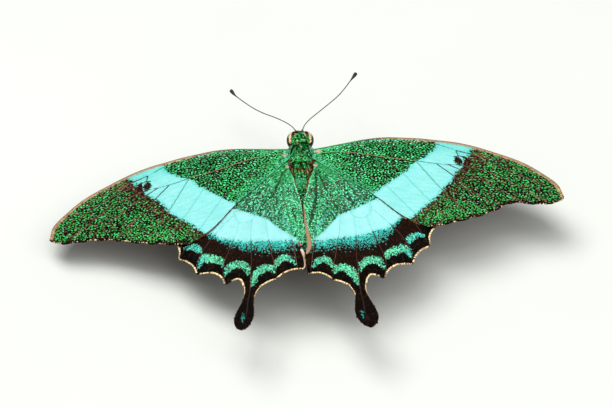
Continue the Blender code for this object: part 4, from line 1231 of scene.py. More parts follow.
def body_point(s, angle):
    """Skin at share s along the body and an angle round it, 90 degrees on top: a squarish oval section
    |x|^q + |z|^q = 1, with the thorax's lobes, its rear shield and the abdomen's rings on it."""
    p = line(BODY)(s)
    c, d = np.cos(angle), np.sin(angle)
    reach = (np.abs(c) ** SQUARENESS + np.abs(d) ** SQUARENESS) ** (-1 / SQUARENESS)
    y = p[..., 0]
    swell = np.zeros(np.shape(y + angle))
    top = step(0.1, 0.8, d)
    x = p[..., 2] * reach * c
    thorax = step(4.0, 3.0, y) * step(-4.2, -3.4, y)
    swell = swell - 0.10 * thorax * top * bell(x, 0.18) * step(-2.1, -1.4, y)
    swell = swell - 0.30 * top * bell(y + 2.08, 0.2)
    swell = swell + 0.22 * top * bell(y + 2.65, 0.34) * bell(x, 1.1)
    for edge in SEGMENTS:
        swell = swell - 0.11 * bell(y - edge, 0.16)
        swell = swell + 0.05 * bell(y - edge + 0.5, 0.4)
    swell = swell + 0.12 * step(5.9, 6.6, y) * top * bell(np.abs(x) - 0.45, 0.35)
    return np.stack(np.broadcast_arrays(BODY_X + (p[..., 2] + swell) * reach * c, y,
                                        p[..., 1] + (p[..., 3] + swell) * reach * d), -1)


def body_marks(p, rng):
    """Marks and shade of the body's coat at points p: emerald in tufts above, dark stripes beside the back
    and between its shields, rust at the wing hinges and beside the abdomen, tan below."""
    x, y, z = p[..., 0] - BODY_X, p[..., 1], p[..., 2]
    dice = dice_for(rng, np.shape(x))
    wide = np.abs(x)
    middle = np.interp(-y, [-9.1, -5.2, 4, 8.5, 14.5, 20], [-2.4, -2.1, -2.2, -2.9, -4.5, -6.2])
    top = step(-0.6, 0.5, z - middle)
    head = step(4.9, 5.3, y)
    tuft = waves(x + 0.4 * z, y, 0.8, 17, 24)
    dark = strokes(x, y, DARK_LINES)
    seam = step(-0.06, 0.08, dark + 0.05 * tuft)
    glow = step(-0.1, 0.1, strokes(x, y, GLOW_LINES))
    shield = step(-2.0, -2.2, y) * step(-3.1, -2.9, y)
    density = top * (0.74 + 0.30 * tuft + 0.6 * glow + 0.1 * shield)
    density = density * (1 - 0.92 * seam)
    fade = step(-6.2, -9.5, y)
    density = density * (1 - 0.45 * fade)
    density = density * (1 - 0.8 * step(-10.5, -13.0, y)) * (1 - 0.2 * step(-3.6, -4.5, y))
    green = (dice() < density).astype(float) if rng else np.clip(density, 0, 1)
    rust = 0.9 * bell(y + 0.9, 1.0) * step(1.95, 2.15, wide) * step(-3.6, -1.4, z)
    rust = np.maximum(rust, 0.9 * step(-0.08, 0.06, strokes(x, y, RUST_LINES)))
    rust = np.maximum(rust, 0.22 * step(0.0, 0.1, stroke(x, y, WAIST_SEAM, 8)))
    edge = np.interp(-y, [2.4, 3.4, 4.5, 6.2, 10.0], [1.7, 1.3, 1.2, 1.0, 0.5])
    flank = 0.85 * step(-2.2, -2.7, y) * step(-10.0, -7.5, y) * step(edge - 0.2, edge + 0.1, wide) * top
    rust = np.maximum(rust, flank)
    cream = step(-0.1, 0.1, stroke(wide, y, [(0.85, 7.1, 0.12), (0.62, 7.45, 0.16)], 4))
    cream = np.maximum(cream, step(-0.05, 0.05, 0.16 - np.hypot(x - 0.12, y - 1.75)))
    cream = cream * top * 0.9
    pale = (dice() < cream).astype(float) if rng else cream
    tan = np.where(dice() < rust, 0.72, 0.0) if rng else 0.7 * rust
    tan = np.maximum(tan, 0.35 * (1 - top) * (dice() < 0.5))
    ridge = 0.45 * (np.abs(x + 0.06) < 0.09) * step(0.9, 0.5, y) * step(-1.2, -0.8, y)
    tan = np.maximum(tan, ridge * (dice() < 0.8))
    light = step(-0.12, 0.04, strokes(x, y, PALE_LINES))
    teal = bell(y - 3.3, 0.45) * bell(wide - 0.2, 0.45)
    teal = np.maximum(teal, 0.8 * np.exp(-((x + 1.55) / 0.3) ** 2 - ((y + 0.75) / 0.4) ** 2))
    teal = np.maximum(teal, light)
    teal = np.maximum(teal, step(8.9, 8.3, y) * step(6.9, 7.6, y) * bell(x + 0.02, 0.28))
    teal = np.maximum(teal, 0.6 * step(-4.0, -4.6, y) * step(-8.0, -6.0, y))
    green = np.maximum(green, teal * (dice() < 0.75) * (1 - seam) * top)
    hue = 0.10 - 0.12 * head - 0.1 * shield + 0.42 * teal + 0.24 * fade
    hue = hue + 0.34 * (dice() - 0.5) + 0.12 * step(1.9, 2.3, wide) * step(-2, 0, y)
    brown = 0.15 + 0.6 * rust + 0.8 * step(-2.7, -3.0, y) * step(-3.9, -3.5, y)
    brown = np.clip(brown + 0.35 * (dice() - 0.5) + 0.3 * (1 - top), 0, 1)
    tone = np.clip(0.5 + 0.3 * tuft + 0.7 * (dice() - 0.5) + 0.3 * teal + 0.5 * glow + 0.2 * shield, 0, 1)
    tone = np.where(y < WAIST_Y, dice(), tone) if rng else tone
    green = green * (1 - (tan > 0.5)) * (1 - pale)
    hue = np.where(tan > 0.5, 1.0, np.clip(hue, 0, 0.9))
    return rows(0, green, pale, 0.3 * pale * (y < 4)), rows(hue, brown, tone, tan)


def body_skin(finish):
    """One skin for head, neck, thorax and abdomen."""
    rings, corners = 330, 112
    s = np.linspace(0, 1, rings)
    angle = np.arange(corners) / corners * 2 * np.pi
    points, quads, tris = closed(body_point(s[:, None], angle[None, :]))
    marks, shade = body_marks(points, None)
    return mesh_piece("body_skin", points, [quads, tris], finish, marks, shade,
                      stands_for=("head", "neck", "thorax", "abdomen"))


def body_frame(s, angle):
    """Place, way to the tail, way round and outward normal on the skin."""
    e = 1e-3
    here = body_point(s, angle)
    back = unit(body_point(np.minimum(s + e, 1), angle) - body_point(np.maximum(s - e, 0), angle))
    around = unit(body_point(s, angle + 5 * e) - body_point(s, angle - 5 * e))
    return here, back, around, unit(np.cross(around, back))


def over_body(rng, count, first=0.0, last=2 * np.pi):
    """Even random places on the body, as a share along it and an angle round it."""
    s, angle = rng.random(count * 3), rng.uniform(first, last, count * 3)
    keep = rng.random(count * 3) < line(BODY)(s)[:, 2:].mean(1) / 2.8
    return s[keep][:count], angle[keep][:count]


def body_unwrap(s, angle):
    """Places on the unwrap of the body, angle across and share upwards."""
    return np.stack([np.mod(angle / (2 * np.pi), 1) * 0.98 + 0.01, np.clip(s, 0, 1) * 0.98 + 0.01], 1)


def body_coat(finish):
    """Short dark-rooted scales lying back all over the body, the ground on which the locks stand."""
    rng = np.random.default_rng(41)
    s, angle = over_body(rng, COAT_SCALES)
    here, back, around, normal = body_frame(s, angle)
    y, n = here[:, 1], len(s)
    length = np.where(y > HEAD_Y, 0.36, np.where(y > WAIST_Y, 0.46, 0.36)) * rng.uniform(0.75, 1.25, n)
    width = np.where(y > WAIST_Y, 0.14, 0.19) * rng.uniform(0.8, 1.2, n)
    tilt = np.where(y > WAIST_Y, rng.uniform(0.08, 0.3, n), rng.uniform(0.05, 0.25, n))
    turn = rng.normal(0, 0.22, n)[:, None]
    back, around = unit(back + turn * around), unit(around - turn * back)
    coat = Coat()
    marks, shade = body_marks(here + 0.5 * length[:, None] * back + [0, 0.06, 0], rng)
    front = (y > WAIST_Y).astype(float)
    marks[:, 1] *= 1 - 0.55 * front * (rng.random(n) < 0.8)
    shade[:, 2] *= 1 - 0.4 * front
    shade[:, 2] = np.clip(shade[:, 2] * np.where(y < WAIST_Y, 1.25, 1.0), 0, 1)
    scales = vanes(here, back, around, normal, length, width, tilt, 0.01)
    coat.add(scales, marks, shade, body_unwrap(s, angle))
    return coat.piece("body_scale_coat", finish, "body_scales")


def body_locks(finish):
    """Locks over the coat: clumps of scales of one colour that run from a small foot to one common tip, aside
    from the middle on the head and backwards elsewhere, each clump bright or dull as a whole."""
    rng = np.random.default_rng(45)
    per = LOCK_SCALES
    s, angle = over_body(rng, LOCKS, math.radians(-28), math.radians(208))
    y = body_point(s, angle)[:, 1]
    keep = y > -12.0
    s, angle = s[keep], angle[keep]
    here, back, around, normal = body_frame(s, angle)
    y, n = here[:, 1], len(s)
    head, tail = (y > HEAD_Y), (y < WAIST_Y)
    aside = np.sign(angle - np.pi / 2) * np.where(head, 0.95, np.where(tail, 0.12, 0.22))
    along = np.where(head, 0.45, 1.0)
    way = unit(back * along[:, None] + around * (aside + rng.normal(0, 0.16, n))[:, None])
    length = np.where(head, 0.38, np.where(tail, 0.34, 0.42)) * rng.uniform(0.7, 1.25, n)
    rise = np.where(tail, 0.07, 0.12) * rng.uniform(0.6, 1.5, n)
    tip = here + way * length[:, None] + normal * rise[:, None]
    marks, shade = body_marks(0.35 * here + 0.65 * tip + [0, 0.08, 0], rng)
    bright = np.clip(rng.random(n) + 0.22 * waves(tip[:, 0], tip[:, 1], 0.55, 71, 24), 0, 1)
    swing = np.where(tail, 1.9, 1.7)
    shade[:, 2] = np.clip(shade[:, 2] + 0.06 * (1 - head) + swing * (bright - 0.36), 0.0, 1)
    shade[:, 0] = np.clip(shade[:, 0] + np.where(tail, 0.55, 0.4) * (bright > 0.72), 0, 0.88)
    marks[:, 1] *= np.where(bright < np.where(tail, 0.3, np.where(head, 0.16, 0.25)), 0.1, 1.0)
    marks[:, 2] = np.maximum(marks[:, 2], 0.2 * (bright > 0.94) * marks[:, 1])
    girth = np.maximum(line(BODY)(s)[:, 2], 0.4)
    foot = rng.uniform(-1, 1, (n, per, 2)) * [0.08, 0.07]
    span = abs(BODY[0][0] - BODY[-1][0]) * 1.06
    s_all = (s[:, None] + foot[..., 0] / span).ravel()
    angle_all = (angle[:, None] + foot[..., 1] / girth[:, None]).ravel()
    root = body_point(np.clip(s_all, 0, 1), angle_all)
    reach = np.repeat(tip, per, 0) + rng.normal(0, 0.035, (n * per, 3)) - root
    far = np.linalg.norm(reach, axis=1)
    up = np.repeat(normal, per, 0)
    ahead = reach / far[:, None]
    side = unit(np.cross(ahead, up))
    up = np.cross(side, ahead)
    length, width = far * rng.uniform(0.8, 1.05, n * per), rng.uniform(0.07, 0.11, n * per)
    scales = vanes(root, ahead, side, up, length, width, 0.1)
    coat = Coat()
    coat.add(scales, np.repeat(marks, per, 0), np.repeat(shade, per, 0), body_unwrap(s_all, angle_all), True)
    return coat.piece("body_locks", finish, "body_scales")


def body_hair(finish):
    """Hair in tufts: on the face and collar, along the flanks and hinges, and thick under the thorax."""
    rng = np.random.default_rng(43)
    down, along = -np.array(BODY)[:, 0], spans(BODY)
    # each tuft: y from, y to, angle from, angle to, count, length, lean outwards, lean aside, and the shares
    # of rust, cream and green hairs: brow, chin, neck, collar, breast, waist and tip of the abdomen
    tufts = [(8.9, 7.9, 60, 120, 420, 0.5, 0.5, 0.0, 0.0, 0.05, 0.75),
             (8.9, 6.2, 205, 335, 700, 0.75, 0.5, 0.0, 0.25, 0.25, 0.0),
             (5.1, 4.2, 25, 155, 300, 0.4, 0.5, 0.0, 0.3, 0.0, 0.2),
             (4.2, 3.4, 35, 145, 260, 0.45, 0.9, 0.0, 0.05, 0.05, 0.75),
             (4.0, -3.8, 200, 340, 2400, 1.15, 0.40, 0.0, 0.25, 0.15, 0.0),
             (-3.2, -3.8, 50, 130, 260, 0.35, 0.3, 0.0, 0.25, 0.0, 0.2),
             (-3.9, -4.4, 72, 108, 120, 0.4, 0.5, 0.0, 0.0, 0.05, 0.9),
             (-17.6, -19.8, 0, 360, 260, 0.6, 0.25, 0.0, 0.35, 0.0, 0.0)]
    # the same for both flanks, angles of the right side: wing hinges, then the edge beside the hindwings
    for y0, y1, low, high, count, *rest in [(0.5, -2.5, 14, 46, 1200, 0.75, 0.45, 0.7, 0.5, 0.1, 0.0),
                                            (-2.3, -4.8, 14, 52, 900, 0.55, 0.35, 0.25, 0.6, 0.05, 0.0),
                                            (-4.8, -9.2, 30, 62, 560, 0.4, 0.25, 0.1, 0.6, 0.05, 0.1)]:
        tufts += [(y0, y1, low, high, count, *rest), (y0, y1, 180 - high, 180 - low, count, *rest)]
    roots, ways, bends, lengths, marks, shade, uvs = [], [], [], [], [], [], []
    for y0, y1, t0, t1, count, length, lean, aside, rust, cream, green in tufts:
        s = np.interp(-rng.uniform(y1, y0, count), down, along)
        angle = np.radians(rng.uniform(t0, t1, count))
        here, back, around, normal = body_frame(s, angle)
        aside = aside * np.sign(angle - np.pi / 2)
        way = unit(back * (1 - lean) + normal * lean + around * (aside + rng.normal(0, 0.15, count))[:, None])
        roots.append(here - 0.05 * normal)
        ways.append(way)
        bends.append((back - way) * 0.4 + np.array([0, 0, -0.1]))
        lengths.append(length * rng.uniform(0.55, 1.15, count))
        dice = rng.random(count)
        is_green = dice < green
        is_rust = (~is_green) & (dice < green + rust)
        is_cream = (~is_green) & (~is_rust) & (dice < green + rust + cream)
        marks.append(rows(0, is_green, is_cream, 0))
        hue = np.where(is_rust, rng.uniform(0.9, 1.0, count), rng.uniform(0.2, 0.7, count))
        shade.append(rows(hue, rng.uniform(0.2, 0.9, count), rng.uniform(0.1, 0.9, count),
                          is_rust * rng.uniform(0.5, 1.0, count)))
        uvs.append(body_unwrap(s, angle))
    root, way, bend, length, marks, shade, uv = (np.concatenate(part) for part in
                                                 (roots, ways, bends, lengths, marks, shade, uvs))
    coat = Coat()
    coat.add(hairs(root, way, bend, length, rng.uniform(0.018, 0.032, len(root))), marks, shade, uv)
    return coat.piece("body_hair", finish, "body_scales")


def spans(points):
    """Share of a line's length at each of its points."""
    p = np.asarray(points, float)[:, :3]
    far = np.concatenate([[0.0], np.cumsum(np.linalg.norm(np.diff(p, axis=0), axis=1))])
    return far / far[-1]


def plate_point(s, t, side):
    """Shoulder plate at share s from front to back and angle t round it: a long flattened oval whose middle
    line runs back and outwards over the shoulder, thickest at half its length."""
    profile = np.sin(np.pi * np.clip(s, 0.015, 0.985)) ** 0.6
    x = 1.72 + 0.5 * s + 0.1 * np.sin(np.pi * s) + 0.42 * profile * np.cos(t) * (1 + 0.2 * s)
    z = -0.32 + 0.3 * np.sin(np.pi * s) + 0.16 * profile * np.sin(t) - 0.45 * (x - 2.2)
    return np.stack(np.broadcast_arrays(BODY_X + side * x, 3.35 - 3.5 * s, z), -1)


def shoulder_plates(finish):
    """The two shoulder plates over the wing roots, long ovals that hug the thorax."""
    s, t = np.meshgrid(np.linspace(0, 1, 26), np.arange(20) / 20 * 2 * np.pi, indexing="ij")
    points, *faces = merged([closed(plate_point(s, t, side)) for side in SIDES])
    marks, shade = (np.tile(row, (len(points), 1)) for row in ([0.0, 0.6, 0.0, 0.0], [0.2, 0.4, 0.4, 0.0]))
    return mesh_piece("shoulder_plates", points, faces, finish, marks, shade)


def plate_scales(finish):
    """Speckled scales over the shoulder plates, edged with rust."""
    rng = np.random.default_rng(53)
    coat, n = Coat(), PLATE_SCALES
    for side in SIDES:
        s, t = rng.random(n), rng.uniform(-0.35, np.pi + 0.2, n)
        root = plate_point(s, t, side)
        normal = unit(rows(side * (0.45 + 0.6 * np.cos(t)), 0.25 - 0.5 * s, 0.9))
        back = unit(rows(side * (0.3 - 0.5 * s), -1.0, 0.1 - 0.3 * s))
        back = unit(back - normal * (back * normal).sum(1, keepdims=True))
        around = unit(np.cross(back, normal))
        length, tilt = rng.uniform(0.25, 0.5, n), rng.uniform(0.1, 0.4, n)
        scales = vanes(root, back, around, normal, length, 0.13, tilt, 0.01)
        edge = (rng.random(n) < 0.3 * (np.cos(t) > 0.55) + 0.5 * step(0.8, 1.0, s))
        pale = rng.random(n) < 0.16
        green = (rng.random(n) < 0.62) & ~edge & ~pale
        hue = np.where(edge, 1.0, rng.uniform(0.2, 0.8, n))
        shade = rows(hue, rng.uniform(0.0, 0.5, n), rng.random(n), edge * 0.8)
        unwrap = rows(0.25 + 0.5 * (side > 0) + 0.2 * np.cos(t), s * 0.96 + 0.02)
        coat.add(scales, rows(0, green, 0.7 * pale, 0), shade, unwrap, side < 0)
    return coat.piece("shoulder_scales", finish, "body_scales")


def small_tufts(finish):
    """Small pale and rose tufts at the wing roots, on the brow and on the front of the back: hairs on a round
    foot, fanned out round one direction."""
    rng = np.random.default_rng(67)
    # each tuft: x, y, z, radius of its foot, hairs, length, direction, share of rose
    tufts = [(0.12, 1.75, 0.92, 0.07, 90, 0.3, (0.0, -0.3, 0.9), 0.3),
             (-2.85, 0.35, 0.12, 0.2, 200, 0.45, (-0.5, -0.5, 0.45), 0.3),
             (3.15, 1.35, 0.12, 0.22, 220, 0.45, (0.5, -0.5, 0.45), 0.2),
             (-2.45, -2.75, 0.04, 0.15, 80, 0.34, (-0.4, -0.7, 0.4), 0.3),
             (2.62, -2.4, 0.0, 0.16, 90, 0.36, (0.4, -0.7, 0.4), 0.45),
             (-0.84, 7.15, -0.8, 0.1, 80, 0.24, (-0.2, -0.3, 0.9), 0.1),
             (0.64, 7.25, -0.6, 0.1, 80, 0.24, (0.2, -0.3, 0.9), 0.1)]
    roots, ways, lengths, rosy, uvs = [], [], [], [], []
    for k, (x, y, z, spread, n, length, way, rose) in enumerate(tufts):
        foot = rng.normal(0, 1, (n, 3)) * [spread, spread * 1.1, 0.05]
        roots.append(np.array([BODY_X + x, y, z]) + foot)
        ways.append(unit(np.array(way) + rng.normal(0, 0.25, (n, 3))))
        lengths.append(length * rng.uniform(0.6, 1.15, n))
        rosy.append(rng.random(n) < rose)
        uvs.append(np.stack([(k + 0.5) / len(tufts) + 0.1 * foot[:, 0], 0.5 + 0.4 * foot[:, 1]], 1))
    root, way, rosy = np.concatenate(roots), np.concatenate(ways), np.concatenate(rosy)
    n = len(root)
    bend = np.broadcast_to([0, 0, -0.2], (n, 3))
    coat, shapes = Coat(), hairs(root, way, bend, np.concatenate(lengths), rng.uniform(0.02, 0.034, n))
    dull = rng.random(n) < 0.12
    shade = rows(0.8, 0.8, rng.uniform(0.4, 0.8, n), 0.6 * dull)
    coat.add(shapes, rows(0, 0, 0.97 * ~dull, 0.22 * rosy), shade, np.concatenate(uvs))
    return coat.piece("pale_tufts", finish, "body_scales")


# ---------------------------------------------------------------- head pieces
def eyes(finish):
    """Compound eyes: the outer part of an ellipsoid sunk in the head, raised in fine rows of facets."""
    for side, word in SIDES.items():
        lat = np.linspace(0.02, 0.80 * np.pi, 72)[:, None]
        lon = np.arange(112)[None, :] / 112 * 2 * np.pi
        facet = 1 + 0.003 * np.cos(70 * lat) * np.cos(28 * lon)
        x = EYE[0] + EYE[3] * np.cos(lat) * facet
        y = EYE[1] + EYE[4] * np.sin(lat) * np.cos(lon) * facet
        z = EYE[2] + EYE[5] * np.sin(lat) * np.sin(lon) * facet
        p, q, t = closed(np.stack(np.broadcast_arrays(BODY_X + side * x, y, z), -1))
        # painted reflection: the front top of each eye carries a pale glare in its shade attribute
        painted_glare = step(7.0, 7.35, p[:, 1]) * step(8.9, 8.5, p[:, 1]) * step(-1.4, -0.9, p[:, 2])
        mesh_piece("eye_globe_" + word, p, [q, t], finish, shade=painted_glare[:, None] * [0.9, 0, 0, 0],
                   stands_for=("eye_" + word,))


def eye_rims(finish):
    """Scales round each eye: the crown's green over its inner side, then a pale crescent behind, dark brown
    towards the feeler and a narrow pale ring below."""
    rng = np.random.default_rng(59)
    coat, n = Coat(), RIM_SCALES
    centre, half = np.array(EYE[:3]), np.array(EYE[3:])
    for side in SIDES:
        t = rng.uniform(0, 2 * np.pi, n)
        above, ahead = np.sin(t), np.cos(t)
        reach = 1.36 + 0.54 * step(0.2, 0.5, above) * step(-0.1, -0.35, ahead) - 0.24 * step(0.1, 0.4, ahead)
        reach = reach - 0.2 * step(0.0, 0.5, ahead) * step(0.0, 0.4, above)
        x = 0.85 + (reach - 0.85) * rng.random(n)
        lat = np.arccos(np.clip((x - centre[0]) / half[0], -1, 1))
        local = half * np.stack([np.cos(lat), np.sin(lat) * ahead, np.sin(lat) * above], 1)
        normal = unit(local / half ** 2)
        way = unit(np.array([[1.0, 0, 0]]) - normal * normal[:, :1])
        around = np.cross(way, normal)
        lean = rng.normal(-0.5, 0.3, n) * np.sign(ahead) * np.where(above > 0, 1, -1)
        way = unit(way + lean[:, None] * around)
        flip = np.array([side, 1.0, 1.0])
        root, way, normal = (centre + local) * flip + [BODY_X, 0, 0], way * flip, normal * flip
        scales = vanes(root, way, unit(np.cross(way, normal)), normal, rng.uniform(0.2, 0.34, n), 0.1,
                       rng.uniform(0.05, 0.3, n), 0.01)
        body, body_shade = body_marks(root, rng)
        inner = x < 1.42 + 0.06 * rng.random(n)
        rust = ~inner & (x < 1.52)
        pale = ~inner & ~rust & (rng.random(n) < 0.95)
        greener = np.maximum(body[:, 1], rng.random(n) < 0.45)
        body[:, 1] = np.where(inner & (above > 0) & (ahead < -0.3), greener, 0)
        body[:, 2] = np.where(pale, 0.95, np.where(inner, body[:, 2], 0))
        body[:, 3] = 0.0
        body_shade[:, 1] = 0.8
        body_shade[:, 2] = np.where(pale, rng.uniform(0.4, 0.9, n), 0.7 * body_shade[:, 2])
        speck = 0.3 * (rng.random(n) < 0.3)
        body_shade[:, 3] = np.where(rust, 0.6, np.where(inner & (ahead > -0.3), speck, 0))
        body_shade[:, 0] = np.where(rust, 1.0, body_shade[:, 0])
        unwrap = rows(0.25 + 0.5 * (side > 0) + 0.14 * ahead * lat, 0.5 + 0.25 * above * lat)
        coat.add(scales, body, body_shade, unwrap, side > 0)
    coat.piece("eye_rim_scales", finish, "body_scales")


def antennae(finish):
    """Feelers of many short rings, thin as thread and swelling to a bent club at the end."""
    for side, word in SIDES.items():
        s = np.linspace(0, 1, 260)
        path = line(ANTENNA[side])(s)
        club = np.clip(1 - (1 - s) / 0.15, 0, 1)
        ring = np.abs(np.sin(np.pi * s * 44))
        radius = 0.09 + 0.015 * s + 0.26 * np.sin(np.pi * club ** 1.5 * 0.62) ** 1.3
        radius = radius * (0.93 + 0.07 * ring ** 0.5) * np.sqrt(np.clip((1 - s) / 0.012, 0.02, 1))
        root = 0.10 * bell(s - 0.008, 0.014) + 0.03 * bell(s - 0.035, 0.01)
        p, q, t = tube(path, radius + root, 14)
        shade = capped(np.repeat(rows(s, ring, 0, 0), 14, 0))
        mesh_piece("feeler_" + word, p, [q, t], finish, shade=shade,
                   stands_for=("antenna_" + word,))


def tongue(finish):
    """The rolled tongue: a tapering ringed tube on a tightening spiral."""
    s = np.linspace(0, 1, 220)
    turn = COIL_TURNS * s
    radius, angle = COIL_RADIUS - COIL_PITCH * turn, 2 * np.pi * (0.2 - turn)
    path = np.stack([BODY_X + 0 * s, COIL_Y + radius * np.cos(angle), COIL_Z + radius * np.sin(angle)], 1)
    thick = (0.24 - 0.11 * s) * (0.95 + 0.05 * np.sin(s * 500)) * np.sqrt(np.clip((1 - s) / 0.02, 0.03, 1))
    stem = np.array([[BODY_X, 8.35, -3.9], [BODY_X, 8.55, -4.45]])
    path = np.concatenate([line([stem[0], stem[1], path[0]])(np.linspace(0, 0.96, 24)), path])
    p, q, t = tube(path, np.concatenate([np.full(24, 0.24), thick]), 14, across=(1, 0, 0))
    mesh_piece("rolled_tongue", p, [q, t], finish, stands_for=("proboscis",))


def palps(skin, hair):
    """The two palps that curve up before the face, thick with short hair."""
    rng = np.random.default_rng(61)
    for side, word in SIDES.items():
        points = [(BODY_X + side * x, y, z) for x, y, z in PALP]
        s = np.linspace(0, 1, 40)
        path = line(points)(s)
        radius = (0.27 - 0.07 * s) * np.sqrt(np.clip((1 - s) / 0.1, 0.05, 1))
        radius = radius * np.sqrt(np.clip(s / 0.05, 0.3, 1))
        p, q, t = tube(path, radius, 18, across=(1, 0, 0))
        marks, shade = (np.tile(row, (len(p), 1)) for row in ([0, 0.0, 0.25, 0], [0.1, 0.5, 0.4, 0.3]))
        mesh_piece("palp_skin_" + word, p, [q, t], skin, marks, shade,
                   stands_for=("palp_" + word,))
    roots, ways, uvs = [], [], []
    n = PALP_HAIRS
    for side in SIDES:
        s, t = rng.random(n), rng.uniform(0, 2 * np.pi, n)
        points = line([(BODY_X + side * x, y, z) for x, y, z in PALP])
        here, way = points(s), unit(points(np.minimum(s + 0.02, 1)) - points(s - 0.02))
        side_way = unit(np.cross(way, [[1.0, 0, 0]]))
        out = side_way * np.cos(t)[:, None] + np.cross(side_way, way) * np.sin(t)[:, None]
        roots.append(here + out * (0.24 - 0.07 * s)[:, None])
        ways.append(unit(way + 0.4 * out))
        uvs.append(rows(0.25 + 0.5 * (side > 0) + t / 2 / np.pi * 0.4 - 0.2, s * 0.96 + 0.02))
    root, way = np.concatenate(roots), np.concatenate(ways)
    coat, shapes = Coat(), hairs(root, way, np.zeros_like(way), rng.uniform(0.18, 0.34, 2 * n), 0.02)
    pale = rng.random(2 * n) < 0.45
    coat.add(shapes, rows(0, 0, pale, 0), rows(0, 0.5, rng.random(2 * n), 0.3 * ~pale), np.concatenate(uvs))
    coat.piece("palp_hair", hair, "body_scales")


# ---------------------------------------------------------------- legs
def leg(pair, side, finish):
    """Leg with thigh, shin, five foot joints, spines along the shin and two claws."""
    word = SIDES[side]
    points = np.array([(BODY_X + side * x, y, z - HINGE_Z) for x, y, z in LEGS[pair]])
    path = line(points)
    share = spans(points)
    s = np.linspace(0, 1, 170)
    knee, ankle = share[1], share[2]
    thigh = np.clip(s / knee, 0, 1)
    shin = np.clip((s - knee) / (ankle - knee), 0, 1)
    foot = np.clip((s - ankle) / (1.0 - ankle), 0, 1)
    radius = np.where(s < knee, 0.20 + 0.24 * np.sin(np.pi * (0.15 + 0.8 * thigh)) ** 0.7,
                      np.where(s < ankle, 0.20 + 0.05 * np.sin(np.pi * shin), 0.15 - 0.03 * foot))
    joints = np.abs(np.sin(np.pi * foot * 5)) ** 0.4
    radius = np.where(s > ankle, radius * (0.72 + 0.28 * joints), radius)
    pinch = 1 - 0.35 * bell(s - knee, 0.008) - 0.3 * bell(s - ankle, 0.008)
    radius = radius * pinch
    radius = radius * np.sqrt(np.clip((1 - s) / 0.01, 0.05, 1))
    outward_way = unit(np.array([points[-1][0] - points[0][0], points[-1][1] - points[0][1], 0.0]))
    normal = np.cross(outward_way, [0, 0, 1.0])
    centre = path(s)
    ground = -HINGE_Z
    centre[:, 2] = np.maximum(centre[:, 2], ground + radius + 0.004)
    parts = [tube(centre, radius, 14, across=normal)]
    rng = np.random.default_rng(71 + 3 * side + len(pair))
    k = np.concatenate([rng.uniform(knee + 0.04, ankle, 34), rng.uniform(ankle, 0.97, 30)])
    way = unit(path(np.minimum(k + 0.01, 1)) - path(k - 0.01))
    t = rng.uniform(0, 2 * np.pi, len(k))
    second = np.cross(way, normal)
    out = normal * np.cos(t)[:, None] + second * np.sin(t)[:, None]
    root = path(k) + out * 0.1
    root[:, 2] = np.maximum(root[:, 2], ground + 0.1)
    out[:, 2] = np.where(root[:, 2] < ground + 0.6, np.abs(out[:, 2]), out[:, 2])
    p, q, tr, _ = hairs(root, unit(way * 0.8 + out * 0.6), way * 0.1, rng.uniform(0.22, 0.4, len(k)), 0.022)
    parts.append((p, q, tr))
    forward = unit(points[-1] - points[-2])
    for spread in SIDES:
        start = points[-1] - forward * 0.12
        sideways = np.cross(forward, [0, 0, 1.0]) * spread
        claw = line([start, start + forward * 0.16 + sideways * 0.12 + [0, 0, 0.07],
                     start + forward * 0.34 + sideways * 0.2 + [0, 0, -0.06]])(np.linspace(0, 1, 14))
        thick = 0.06 * (1 - np.linspace(0, 0.9, 14))
        claw[:, 2] = np.maximum(claw[:, 2], ground + thick + 0.003)
        parts.append(tube(claw, thick, 8))
    name = "leg_" + pair + "_" + word
    surface, *faces = merged(parts)
    mesh_piece("walking_" + name, surface, faces, finish, stands_for=(name,))


# ---------------------------------------------------------------- stage
def floor(finish):
    """Pale board under the feet."""
    mesh = bpy.data.meshes.new("floor")
    half = 1.6
    corners = [(-half, -half, 0), (half, -half, 0), (half, half, 0), (-half, half, 0)]
    mesh.from_pydata(corners, [], [(0, 1, 2, 3)])
    mesh.materials.append(finish)
    board = bpy.data.objects.new("floor", mesh)
    bpy.context.scene.collection.objects.link(board)


def lamp(name, place_at, size, watts):
    """Square soft white lamp aimed at the butterfly."""
    data = bpy.data.lights.new(name, "AREA")
    data.size, data.energy = size, watts
    obj = bpy.data.objects.new(name, data)
    obj.location = place_at
    obj.rotation_euler = (Vector((0, 0, 0.01)) - obj.location).to_track_quat("-Z", "Y").to_euler()
    bpy.context.scene.collection.objects.link(obj)


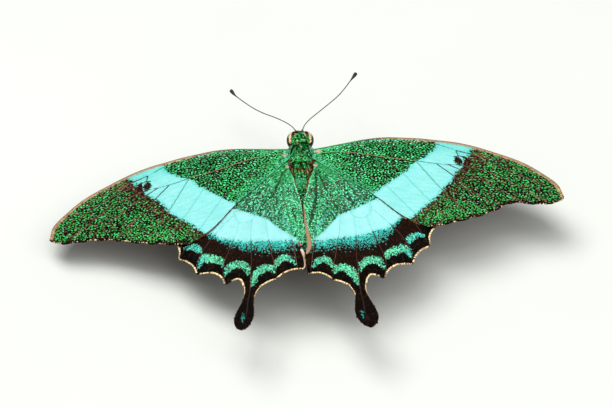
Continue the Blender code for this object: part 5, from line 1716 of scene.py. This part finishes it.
def light():
    """Soft studio light: a broad one above and before the head, a fill from the camera's side, one from
    above, and pale surroundings."""
    for name, at, size, watts in [("key", (-0.30, 0.20, 0.90), 0.6, 7.4),
                                  ("fill", (0.45, -0.45, 0.65), 0.7, 3.0),
                                  ("top", (0.05, -0.15, 1.0), 0.5, 3.4)]:
        lamp(name, at, size, watts)
    world = bpy.data.worlds.new("surroundings")
    world.use_nodes = True
    world.node_tree.nodes["Background"].inputs[0].default_value = (0.93, 0.97, 1.0, 1)
    world.node_tree.nodes["Background"].inputs[1].default_value = 0.30
    bpy.context.scene.world = world


def camera():
    """Long lens 400 mm from the wings, 42 degrees above the floor."""
    data = bpy.data.cameras.new("camera")
    data.lens, data.sensor_width = 130.6, 36.0
    data.clip_start = 0.01
    obj = bpy.data.objects.new("camera", data)
    elevation, azimuth, roll, distance = (math.radians(42), math.radians(-0.7), math.radians(-0.3), 0.4)
    back = Vector((math.sin(azimuth) * math.cos(elevation), -math.cos(azimuth) * math.cos(elevation),
                   math.sin(elevation)))
    right = Vector((math.cos(azimuth), math.sin(azimuth), 0))
    up = back.cross(right)
    turned = right * math.cos(roll) + up * math.sin(roll)
    up = up * math.cos(roll) - right * math.sin(roll)
    aim = Vector(place((0.7, -13.0, 0.0)))
    axes = Matrix((turned, up, back)).transposed().to_4x4()
    obj.matrix_world = Matrix.Translation(aim + back * distance) @ axes
    bpy.context.scene.collection.objects.link(obj)
    bpy.context.scene.camera = obj


# ---------------------------------------------------------------- the whole butterfly
camera()
light()
bpy.context.scene.view_settings.view_transform = "Standard"
floor(floor_finish())

scales, skin, veins = scales_finish("wing_scales"), membrane_finish("wing_skin"), vein_finish("wing_veins")
for kind in ("hind", "fore"):
    for side in SIDES:
        wing = Wing(kind, side)
        membrane(wing, skin)
        wing_veins(wing, veins)
        wing_scales(wing, scales)
        wing_scales(wing, scales, upper=False)
        fringe(wing, scales)
        if kind == "hind":
            inner_hem(wing, HEMS[side][0], veins, HEMS[side][1])
            inner_hair(wing, scales)

coat = scales_finish("body_coat")
body_skin(skin_finish())
body_coat(coat)
body_locks(coat)
body_hair(coat)
shoulder_plates(bpy.data.materials["body_skin"])
plate_scales(coat)
small_tufts(coat)
eyes(eye_finish())
eye_rims(coat)
antennae(antenna_finish())
tongue(horn_finish("tongue_horn", srgb(122, 82, 48), srgb(62, 36, 20)))
palps(bpy.data.materials["body_skin"], coat)
leg_horn = horn_finish("leg_horn", srgb(74, 56, 36), srgb(28, 21, 15))
for pair in LEGS:
    for side in SIDES:
        leg(pair, side, leg_horn)
